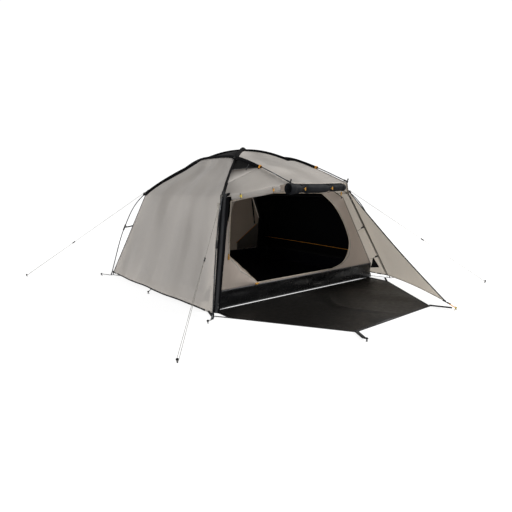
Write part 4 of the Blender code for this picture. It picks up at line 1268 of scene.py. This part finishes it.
def build_rolls():
    s = np.linspace(0, 1, 70)
    wing = wing_roll_line(s)
    roll("wing_roll_cloth", wing, WING_ROLL_R, TOGGLE_SHARES["wing"], "fly", 2.0, "wing_roll", "fly_grey")
    y = -TIP_Y - 0.040
    z = ridge_skin_z(TIP_Y) - 0.038
    door = np.stack([np.linspace(*DOOR_ROLL_X, 80), np.full(80, y),
                     z - 0.006 * np.sin(np.pi * np.linspace(0, 1, 80))], -1)
    roll("door_roll_cloth", door, DOOR_ROLL_R, TOGGLE_SHARES["door"], "slate", 5.0, "door_roll",
         "fly_slate", squeeze=0.34, flare=0.20, taper=0.30)
    for kind, path, radius, facing, colour in (
            ("wing", wing, WING_ROLL_R, unit(vec(-0.63, -0.77, 0)), "yellow"),
            ("door", door, DOOR_ROLL_R, vec(0, -1, 0), "toggle")):
        for word, share in zip(("left", "right"), TOGGLE_SHARES[kind]):
            centre = box_centre(f"toggle_{kind}_{word}")
            colour = "toggle" if word == "right" else colour
            toggle(f"toggle_{kind}_{word}", centre, colour)
            k = int(round(share * (len(path) - 1)))
            along = unit(path[k + 1] - path[k - 1])
            tie_loop(f"tie_{kind}_{word}", path[k], along, radius * 0.84, facing)
            # The toggle's own two cords leave the loop through its waist.
            root = path[k] + facing * radius * 0.84
            ends = [root + along * 0.004, centre + vec(0, 0, 0.002), root - along * 0.004]
            cord_tube(f"tie_cord_{kind}_{word}", smooth_curve(ends, 6), 0.0030 if kind == "door" else 0.0046,
                      colour)
    # Webbing binding round the door roll's left end, and the strips that hold both rolls to the brow.
    a = np.linspace(0, 2 * np.pi, 33)
    for place, share, size, wide in (("left", 0.035, 1.10, 0.050), ("left_edge", 0.078, 1.02, 0.012),
                                     ("right", 0.965, 0.74, 0.030)):
        k = int(share * 79)
        ring = door[k] + np.stack([0 * a, np.cos(a) * DOOR_ROLL_R * size, np.sin(a) * DOOR_ROLL_R * size], -1)
        strap(f"door_roll_band_{place}", ring, unit(ring - door[k]), wide, "hem" if "edge" in place
              else "slate", 0.0020)
    # The right wing's own spare tie hangs below the roll's right end.
    at = vec(0.262, -TIP_Y - 0.020, ridge_skin_z(TIP_Y) - 0.096)
    bm = bmesh.new()
    lathe(bm, ((0.0001, -0.017), (0.0050, -0.0155), (0.0062, -0.010), (0.0046, 0.0), (0.0062, 0.010),
               (0.0050, 0.0155), (0.0001, 0.017)),
          at, (0.15, 0, 1))
    lathe(bm, ((0.0001, -0.006), (0.0058, -0.004), (0.0062, 0.0), (0.0058, 0.004), (0.0001, 0.006)),
          at - vec(-0.004, 0, 0.040),
          (0, 0, 1), material=1)
    moulded("wing_spare_tie", bm, ["toggle", "plastic"])
    cord_tube("wing_spare_tie_cord", line(at + vec(0, 0, 0.060), at - vec(-0.004, 0, 0.040), 10), 0.0016,
              "shock")
    x = np.linspace(-0.36, 0.30, 30)
    valance = np.array([np.stack([x, np.full(30, -BROW_Y + q * 0.012),
                                  ridge_skin_z(BROW_Y) - 0.006 - q * 0.050 + 0 * x], -1)
                        for q in np.linspace(0, 1, 6)])
    valance[..., 1] -= 0.004
    lay_sheet("brow_valance", valance, ["slate"], FLY_CLOTH)
    top = brow_line(-1, -1, np.linspace(0.05, 0.90, 40))
    low = wing_roll_line(np.linspace(0, 1, 40)) + vec(0.0, 0.014, 0.016)
    q = np.linspace(0, 1, 6)[:, None, None]
    hang = top[None] * (1 - q) + low[None] * q + vec(0, 0.004, 0) * np.sin(np.pi * q)
    lay_sheet("wing_valance", hang, ["fly"], FLY_CLOTH)


# --- inner tent --------------------------------------------------------------------------------------
def wall_at(x, z, end):
    return np.stack(np.broadcast_arrays(x, end * (TUB_Y - lean(np.asarray(z, float))), z), -1)


def door_curve():
    round_side = smooth_curve((DOOR["top_right"], (0.559, 0.814), (0.682, 0.628), DOOR["right"],
                               (0.696, 0.303), (0.600, 0.215), DOOR["low_right"]), 6)
    corners = np.vstack([[DOOR["left_low"], DOOR["left_top"], (-0.250, 0.962)], round_side,
                         [DOOR["low_left"]]])
    return np.vstack([corners, corners[:1]])


def wall_curve():
    low, high = TUB_H + 0.004, WALL_SHOULDER
    half = [(end_half_width(low), low), (end_half_width(high), high), (PEAK_X, WALL_PEAK)]
    pts = half + [(-x, z) for x, z in half[::-1]]
    return np.array(pts + pts[:1])


WALL_CENTRE = np.array([-0.03, 0.55])


def radial(curve, angles):
    """Where rays from the wall's middle meet a closed outline."""
    rel = curve - WALL_CENTRE
    out = []
    for a in angles:
        d = np.array([math.cos(a), math.sin(a)])
        p, q = rel[:-1], rel[1:]
        e = q - p
        cross = d[0] * e[:, 1] - d[1] * e[:, 0]
        with np.errstate(divide="ignore", invalid="ignore"):
            r = (p[:, 0] * e[:, 1] - p[:, 1] * e[:, 0]) / cross
            s = (p[:, 0] * d[1] - p[:, 1] * d[0]) / cross
        good = (s >= -1e-6) & (s <= 1 + 1e-6) & (r > 0)
        out.append(r[good].max())
    return WALL_CENTRE + np.array(out)[:, None] * np.stack([np.cos(angles), np.sin(angles)], -1)


def ring_angles(*curves):
    extra = [np.arctan2(*(c[:-1] - WALL_CENTRE).T[::-1]) for c in curves]
    return np.unique(np.round(np.r_[np.linspace(-np.pi, np.pi, 181)[:-1], *extra], 5))


def build_inner_walls():
    door, wall = door_curve(), wall_curve()
    angles = ring_angles(door, wall)
    inner, outer = radial(door, angles), radial(wall, angles)
    r = np.linspace(0, 1, 12)[:, None, None]
    flat = inner[None] * (1 - r) + outer[None] * r
    grid = wall_at(flat[..., 0], flat[..., 1], -1)
    facing = unit(vec(0, -1, TUB_LEAN))
    slack = np.sin(np.pi * np.clip(r[..., 0] * 0.9 + 0.1, 0, 1))
    q = flat * [3.0, 3.0]
    # The unzipped corner, low on the left, hangs slack and its edge ripples.
    loose = np.exp(-(((flat[..., 0] + 0.68) / 0.20) ** 2 + ((flat[..., 1] - 0.30) / 0.16) ** 2))
    ripple = 0.006 * np.sin(flat[..., 0] * 42 - flat[..., 1] * 30) * loose * (1 - r[..., 0])
    push = 0.010 * rough(q, 1.0, 41.0) * slack + 0.022 * loose * slack + ripple
    grid = grid + facing * push[..., None]
    lay_sheet("inner_front", grid, ["inner", "inner_dark"], INNER_CLOTH, (0, -1, 0),
              ["inner_front_wall"], closed=True, upright=True)
    edge = np.vstack([grid[0], grid[0][:1]]) + facing * 0.002
    cord_tube("door_piping", edge, 0.0034, "pale_pipe")
    inner_zip = np.vstack([grid[1], grid[1][:1]])
    strap("inner_door_zip", inner_zip, facing, 0.012, "seam", 0.0014, 0.0006)
    # Rear wall: same outline, closed, with the back door's zip, a strap and a dark lower part.
    shares = np.linspace(0.02, 1, 18)[:, None, None]
    flat = WALL_CENTRE + (outer - WALL_CENTRE)[None] * shares
    grid = wall_at(flat[..., 0], flat[..., 1], 1)
    back = unit(vec(0, -1, -TUB_LEAN))
    grid = grid + back * (0.012 * rough(flat * [2.4, 2.4], 1.0, 51.0) * (1 - shares[..., 0] ** 4))[..., None]
    # The rear wall's inside face takes the darker copy of the inner cloth, painted shade.
    lay_sheet("inner_rear", grid, ["inner", "inner_shade"], INNER_CLOTH, (0, 1, 0),
              ["inner_rear_wall"], closed=True, capped=True, upright=True)
    low = np.linspace(0, 1, 12)[:, None]
    x = np.linspace(0.52, 0.98, 16)[None]
    z_top = np.clip(0.255 + (x - 0.504) * 0.744, 0, 0.60) + 0 * low
    z = (TUB_H + 0.01) * (1 - low) + z_top * low
    x, z = np.broadcast_arrays(np.minimum(x, end_half_width(z) - 0.01), z)
    lay_sheet("inner_rear_pocket", wall_at(x, z, 1) + back * 0.005, ["inner_dark"], 0.001)
    for word, side in SIDES:
        z = np.linspace(TUB_H + 0.004, 0.62, 16)[:, None]
        inner_x = 0.870 - 0.04 * (z - 0.2)
        x = inner_x + (end_half_width(z) + 0.010 - inner_x) * np.linspace(0, 1, 6)[None]
        lay_sheet(f"inner_rear_margin_{word}", wall_at(side * x, z, 1) + back * 0.009, ["black"], 0.001)
    hanging = wall_at(np.linspace(0.716, 0.795, 20), np.linspace(0.839, 0.499, 20), 1) + back * 0.004
    strap("inner_rear_strap", hanging, back, 0.024)
    diagonal = wall_at(np.linspace(0.817, 0.504, 24), np.linspace(0.488, 0.255, 24), 1) + back * 0.005
    strap("inner_rear_zip", diagonal, back, 0.010, "orange_pipe")


def build_inner_shell():
    for word, side in SIDES:
        z = np.linspace(TUB_H - 0.004, WALL_SHOULDER + 0.006, 14)[:, None]
        y = np.linspace(-1, 1, 26)[None]
        zz, yy = np.broadcast_arrays(z, y * (TUB_Y - lean(z) - 0.002))
        x = side * (end_half_width(zz) + 0.008)
        free = (1 - y * y) * np.sin(np.pi * (zz - z.min()) / (z.max() - z.min()))
        ripple = rough(np.stack([yy * 2.5, zz * 2.5], -1), 1.0, 61.0 + side)
        x = x - side * 0.014 * free + 0.008 * free * ripple
        lay_sheet(f"inner_end_{word}", np.stack([x, yy, zz], -1), ["black"], INNER_CLOTH,
                  replaces=[f"inner_end_wall_{word}"])
    half_x = end_half_width(WALL_SHOULDER) + 0.008
    u = np.linspace(-1, 1, 41)
    x, v = np.meshgrid(u * half_x, u)
    rise = np.minimum(1.0, (half_x - np.abs(x)) / (half_x - PEAK_X))
    rim = WALL_SHOULDER + (WALL_PEAK - WALL_SHOULDER) * rise + 0.004
    y = v * (TUB_Y - lean(rim))
    tx, ty = np.abs(x) / FOOT_X, np.abs(y) / FOOT_Y
    hang = np.minimum(main_z(np.maximum(tx, ty)), ridge_z(y)) - 0.075
    to_rim = np.clip((1 - np.maximum(np.abs(v), np.abs(x) / half_x)) / 0.45, 0, 1) ** 0.8
    z = rim * (1 - to_rim) + np.maximum(hang, rim) * to_rim
    z = z + 0.006 * rough(np.stack([x * 2, y * 2], -1), 1.0, 71.0) * to_rim
    lay_sheet("inner_ceiling", np.stack([x, y, z], -1), ["black"], INNER_CLOTH,
              replaces=["inner_roof"])
    # Webbing that hangs the inner from the poles.
    for corner, (sx, sy) in CORNERS.items():
        for k, t in enumerate((0.20, 0.52)):
            top = pole_point(corner, t) - vec(0, 0, 0.020)
            low = vec(top[0] * 0.97, top[1] * 0.97, top[2] - 0.055)
            strap(f"inner_hanger_{corner}_{k}", line(top, low, 5), vec(sy, -sx, 0), 0.010)


def rounded_ring(half_x, half_y, z, n=40, corner=0.05):
    """Closed outline of a rectangle with rounded corners, with the same count of points each time."""
    pts = []
    for k, (sx, sy) in enumerate(((1, 1), (-1, 1), (-1, -1), (1, -1))):
        a = np.linspace(0, np.pi / 2, 9) + k * np.pi / 2
        pts.append(np.stack([sx * (half_x - corner) + corner * np.cos(a),
                             sy * (half_y - corner) + corner * np.sin(a)], -1))
    pts = np.vstack(pts)
    pts = np.vstack([pts, pts[:1]])
    length = arc(pts)
    at = np.linspace(0, length[-1], 4 * n + 1)[:-1]
    return np.stack([np.interp(at, length, pts[:, 0]), np.interp(at, length, pts[:, 1]),
                     np.full(len(at), z)], -1)


def build_tub():
    rings = [rounded_ring(TUB_X * f, TUB_Y * f, 0.0025, corner=0.05 * f)
             for f in (0.02, 0.2, 0.4, 0.6, 0.8, 0.92, 0.985)]
    rings += [rounded_ring(TUB_X + 0.004 * s, TUB_Y + 0.004 * s, 0.004 + s * (TUB_H - 0.002))
              for s in np.linspace(0, 1, 12)]
    grid = np.array(rings)
    n_floor = 7
    walls = grid[n_floor:]
    out = unit(walls * [1, 1, 0])
    s = np.linspace(0, 1, 12)[:, None]
    a = np.linspace(0, 2 * np.pi, grid.shape[1], endpoint=False)
    slack = np.sin(np.pi * s) ** 0.7
    puff = rough(np.stack(np.broadcast_arrays(walls[..., 0] * 5, walls[..., 1] * 5 + walls[..., 2] * 14),
                          -1), 1.0, 81.0)
    walls += out * ((0.011 * puff - 0.004) * slack)[..., None]
    crease = rough(walls * [16, 16, 40], 1.0, 85.0)
    walls += out * ((0.004 * crease) * slack)[..., None]
    corner_pull = (np.clip((np.abs(walls[..., 0]) - 0.85) / 0.22, 0, 1)
                   * np.clip((np.abs(walls[..., 1]) - 0.70) / 0.21, 0, 1))
    walls += np.sign(walls) * vec(0.012, 0.026, 0) * (corner_pull * (1 - 0.55 * s))[..., None]
    grid[:n_floor, :, 2] += 0.004 * np.clip(rough(grid[:n_floor, :, :2] * 3.0, 1.0, 83.0), 0, 1)
    bm = bmesh.new()
    verts = add_grid(bm, grid, closed=True)
    bm.faces.new(verts[0])
    agree(bm)
    if sum(f.normal.z for f in bm.faces if abs(f.normal.z) > 0.9) > 0:
        bmesh.ops.reverse_faces(bm, faces=bm.faces)
    obj = finish_mesh("tub_sheet", bm, ["tub", "tub_in"])
    thicken(obj, 0.0014, 1)
    keep(obj, replaces=["inner_tub"])
    top = np.vstack([grid[-1], grid[-1][:1]])
    outward = unit(top * [1, 1, 0])
    cord_tube("tub_piping", top + outward * 0.002, 0.0036, "pipe")
    for word, side in SIDES:
        y = np.linspace(0.84, -0.80, 40)
        z = np.interp(y, (-0.80, 0.02, 0.84), (0.283, 0.301, 0.310))
        path = np.stack([side * (end_half_width(z) - 0.012), y, z], -1)
        strap(f"end_wall_piping_{word}", path, vec(-side, 0, 0), 0.007, "orange_pipe", 0.002)
    # Corner tabs from the tub out to the pole feet.
    for corner, (sx, sy) in CORNERS.items():
        a = vec(sx * (TUB_X - 0.006), sy * (TUB_Y - 0.006), 0.012)
        b = vec(sx * (FOOT_X - 0.012), sy * (FOOT_Y - 0.012), 0.010)
        strap(f"tub_tab_{corner}", line(a, b, 8), UP, 0.020)


def build_door_leaf():
    """The unzipped door, pushed down in a bunch inside the doorway's lower left corner."""
    ends = ((-0.770, -0.790, 0.390), (-0.700, -0.800, 0.270), (-0.610, -0.815, 0.150),
            (-0.500, -0.800, 0.062))
    path = smooth_curve(ends, 14)
    _, across, up = frames_along(path, (0, 0, 1))
    a = np.linspace(0, 2 * np.pi * 1.6, 70)
    s = np.linspace(0, 1, len(path))
    lump = np.array([[noise.noise(Vector((math.cos(q) * 1.7 + q * 0.2, math.sin(q) * 1.7, at * 5 + 91)))
                      for q in a] for at in s])
    radii = (0.034 * (0.62 + 0.38 * a / a[-1]) * (1 + 0.30 * lump)
             * (0.8 + 0.25 * np.sin(np.pi * s))[:, None])
    padded_roll("door_leaf_bunch", spiral_grid(path, across, up, a, radii), "inner_dark", INNER_CLOTH,
                "inner_door_leaf")


def build_groundsheet():
    left = np.array([(-1.02, -0.927), (-1.03, -1.18), (-0.53, -2.03)])
    right = np.array([(1.02, -0.924), (1.01, -1.17), (0.47, -2.00)])
    s = np.linspace(0, 1, 44)
    la, ra = arc(left) / arc(left)[-1], arc(right) / arc(right)[-1]
    a = np.stack([np.interp(s, la, left[:, k]) for k in (0, 1)], -1)
    b = np.stack([np.interp(s, ra, right[:, k]) for k in (0, 1)], -1)
    u = np.linspace(0, 1, 60)
    flat = a[:, None] * (1 - u[None, :, None]) + b[:, None] * u[None, :, None]
    edge = np.minimum.reduce(np.broadcast_arrays(s[:, None], 1 - s[:, None], u[None], 1 - u[None]))
    long_crease = np.clip(1 - np.abs(flat[..., 0] - 0.02 - 0.16 * np.sin(flat[..., 1] * 5)) / 0.05, 0, 1)
    rise = (0.013 * np.clip(rough(flat * [3.3, 1.7], 1.0, 95.0) + 0.12, 0, 1)
            + 0.016 * long_crease * np.sin(np.pi * s)[:, None])
    z = 0.0022 + rise * np.clip(edge / 0.06, 0, 1)
    grid = np.concatenate([flat, z[..., None]], -1)
    lay_sheet("groundsheet_cloth", grid, ["ground"], INNER_CLOTH, UP, ["groundsheet"])
    rim = np.vstack([grid[:, 0], grid[-1, 1:], grid[::-1, -1][1:]])
    strap("groundsheet_hem", rim + vec(0, 0, 0.0006), UP, 0.016, "hem", 0.0014)
    low = 0.0045
    for (word, _), edge in zip(SIDES, (left, right)):
        peg = FREE_PEGS[f"front_peg_{word}"]
        strap(f"groundsheet_strap_{word}", line(vec(*edge[2], low), vec(*(np.array(peg) * 0.985), 0.012), 8),
              vec(0.35, 0, 0.94), 0.034, thickness=0.0110)
    for (word, side), edge in zip(SIDES, (left, right)):
        strap(f"groundsheet_tab_{word}", line(vec(*edge[1], low), vec(side * 1.110, -1.075, 0.009), 8), UP,
              0.022)


# --- guylines, tensioners, pegs ----------------------------------------------------------------------
CORD_R, CORD_BEND_R = 0.0016, 0.0070


def guy_line_ends(corner):
    x, y = GUY_FEET[corner]
    low = vec(x, y, PEG_HEAD_Z - 0.012)
    centre = pole_point(corner, SLEEVE_T)
    top = centre + out_of_pole(corner, SLEEVE_T) * RING_OUT
    return top, low - unit(low - top) * 0.008


def build_guys():
    for corner in CORNERS:
        top, low = guy_line_ends(corner)
        along = unit(low - top)
        middle = mix(top, low, TENSIONER_SHARE[corner])
        aside = unit(np.cross(along, UP))
        # Tensioner: a three-hole bar that the cord threads through.
        bm = bmesh.new()
        up = unit(np.cross(aside, along))
        rounded(bm, middle, along, up, (0.036, 0.0120, 0.0095), 0.35)
        for d in (-0.0125, 0.0125):
            rounded(bm, middle + along * d, along, up, (0.006, 0.0150, 0.0115), 0.35)
        keep(finish_mesh(f"tensioner_bar_{corner}", bm, ["plastic"]), f"tensioner_{corner}",
             [f"tensioner_{corner}"])
        # Cord: cuff, through the tensioner, round the peg, and back up to the tensioner.
        turn = low + along * 0.014
        a = np.linspace(-np.pi / 2, np.pi / 2, 9)
        bend = turn + np.sin(a)[:, None] * aside * CORD_BEND_R + np.cos(a)[:, None] * along * CORD_BEND_R
        down_a = line(top, middle, 8)
        down_b = line(middle, turn - aside * CORD_BEND_R, 8)
        back = line(turn + aside * CORD_BEND_R, middle + aside * 0.0038 + along * 0.020, 10)
        points = np.vstack([down_a, down_b[1:], bend[1:-1], back])
        curve = bpy.data.curves.new(f"guyline_cord_{corner}", "CURVE")
        curve.dimensions = "3D"
        curve.bevel_depth = CORD_R
        curve.bevel_resolution = 3
        curve.use_fill_caps = True
        spline = curve.splines.new("POLY")
        spline.points.add(len(points) - 1)
        for slot, p in zip(spline.points, points):
            slot.co = (*p, 1.0)
        obj = bpy.data.objects.new(f"guyline_cord_{corner}", curve)
        curve.materials.append(M["cord"])
        SCENE.collection.objects.link(obj)
        keep(obj, replaces=[f"guyline_{corner}"])
        # Knots: at the cuff's ring and at the tensioner.
        bm = bmesh.new()
        for place in (top + along * 0.012, middle + along * 0.024 + aside * 0.002):
            knot = place + np.array([math.sin(q * 2) * aside * 0.0034 + math.cos(q * 3) * up * 0.0030
                                     + along * 0.006 * math.cos(q) for q in np.linspace(0, 2 * np.pi, 40)])
            sweep(bm, knot, circle(CORD_R, 8))
        moulded(f"guyline_knots_{corner}", bm, ["cord"])


def build_pegs():
    profile = ((0.0001, 0.0), (0.0070, -0.0004), (0.0094, -0.0022), (0.0094, -0.0078), (0.0066, -0.0096),
               (0.0038, -0.0110),
               (0.0034, -0.0140), (0.0034, -0.1480), (0.0018, -0.1700), (0.0001, -0.1790))
    places = {}
    for corner, (sx, sy) in CORNERS.items():
        reach = unit(vec(*GUY_FEET[corner])) * 0.010
        places[f"guy_peg_{corner}"] = (vec(*GUY_FEET[corner]) + reach, (sx, sy))
        places[f"corner_peg_{corner}"] = (vec(sx * (FOOT_X + CORNER_PEG[0]), sy * (FOOT_Y + CORNER_PEG[1])),
                                          (sx, sy))
    for word, sx in SIDES:
        places[f"side_peg_{word}"] = (vec(sx * (FOOT_X + SIDE_PEG[0]), SIDE_PEG[1]), (sx, 0))
    for name, (x, y) in FREE_PEGS.items():
        places[name] = (vec(x, y), (x, y))
    for name, (xy, away) in places.items():
        up = unit(np.r_[unit(vec(*away)) * 0.30, 1.0])
        head = np.r_[xy, PEG_HEAD_Z]
        bm = bmesh.new()
        lathe(bm, profile, head, up, 20)
        # Hook below the head, on the side away from the tent.
        out = unit(np.r_[vec(*away), 0.0])
        hook = smooth_curve((head - up * 0.020, head - up * 0.016 + out * 0.007,
                             head - up * 0.021 + out * 0.011,
                             head - up * 0.028 + out * 0.010), 5)
        sweep(bm, hook, circle(0.0022, 10))
        agree(bm)
        gold = "peg_gold" if name == "front_peg_right" else "peg_dark"
        keep(finish_mesh(f"{name}_pin", bm, [gold]), replaces=[name])
    for word, sx in SIDES:
        hem = side_skin(sx, CORNER_T - 0.004, -0.011)
        goal = vec(sx * (FOOT_X + SIDE_PEG[0]), SIDE_PEG[1], 0.020)
        strap(f"side_strap_{word}", line(hem, goal, 8), UP, 0.014)


# --- sliders, buckle, strut -------------------------------------------------------------------------
def slider(name, node, colour, facing, along, pull_colour):
    """Zip slider: a body, a bridge and a pull tab with a cord grip."""
    centre = box_centre(node)
    facing, along = unit(facing), unit(along)
    across = np.cross(along, facing)
    bm = bmesh.new()
    rounded(bm, centre - facing * 0.001, along, across, (0.014, 0.0100, 0.0040), 0.35)
    rounded(bm, centre + facing * 0.0022, along, across, (0.008, 0.0026, 0.0028), 0.35)
    rounded(bm, centre - along * 0.011 + facing * 0.0048, along, across, (0.024, 0.0120, 0.0030), 0.35,
            material=1)
    rounded(bm, centre - along * 0.034 + facing * 0.0062, along, across, (0.028, 0.0180, 0.0062), 0.4,
            material=1)
    obj = finish_mesh(name, bm, [colour, pull_colour])
    keep(obj, node, [node])


def build_small_parts():
    top = brow_line(-1, -1, 0.03)
    foot = hem_point("b")
    slider("fly_zip_pull", "fly_zip_slider", "plastic", vec(0.3, -1, 0.1), top - foot,
           "plastic")
    facing = unit(vec(0, -1, TUB_LEAN))
    left_low = wall_at(*DOOR["left_low"], -1)
    left_top = wall_at(*DOOR["left_top"], -1)
    slider("inner_zip_pull_side", "inner_zip_slider_side", "plastic", facing,
           left_top - left_low, "toggle")
    slider("inner_zip_pull_sill", "inner_zip_slider_sill", "plastic", facing, vec(1, 0, 0),
           "toggle")
    # Buckle: a ladder-lock on the wing's free corner, and the straps on both sides of it.
    centre = box_centre("wing_buckle")
    tip = wing_surface(1.0, 1.0)
    peg = vec(*FREE_PEGS["front_peg_right"], PEG_HEAD_Z)
    run = unit(peg - tip)
    across = unit(np.cross(UP, run))
    bm = bmesh.new()
    for d in (-0.014, -0.004, 0.014):
        rounded(bm, centre + run * d, run, across, (0.005, 0.024, 0.005), 0.35)
    for d in (-0.0105, 0.0105):
        rounded(bm, centre + across * d, run, across, (0.033, 0.0040, 0.0060), 0.35)
    keep(finish_mesh("wing_ladder_lock", bm, ["plastic"]), "wing_buckle", ["wing_buckle"])
    strap("wing_strap", line(tip - run * 0.03 - vec(0, 0, 0.002), centre - run * 0.004, 8), UP, 0.024)
    strap("wing_peg_strap", line(centre, peg + run * 0.002 - vec(0, 0, 0.010), 8, 0.002), UP, 0.021,
          "orange")
    # Strut that props the roof vent open: a flat batten with a rounded foot and a hook-and-loop tip.
    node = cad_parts["vent_prop"]
    co = np.array([v.co for v in node.data.vertices])
    middle = co.mean(0)
    _, _, axes = np.linalg.svd(co - middle)
    bm = bmesh.new()
    rounded(bm, middle, axes[0], axes[1], (0.064, 0.010, 0.0036), 0.35)
    for d in (0.028, -0.028):
        rounded(bm, middle + axes[0] * d, axes[0], axes[1], (0.008, 0.012, 0.0052), 0.35)
    keep(finish_mesh("vent_strut", bm, ["plastic"]), "vent_prop", ["vent_prop"])


build_canopy()
build_canopy_details()
build_poles()
build_pole_fittings()
build_rear_vestibule()
build_front_wing()
build_zip_flap()
build_rolls()
build_inner_walls()
build_inner_shell()
build_tub()
build_door_leaf()
build_groundsheet()
build_guys()
build_pegs()
build_small_parts()
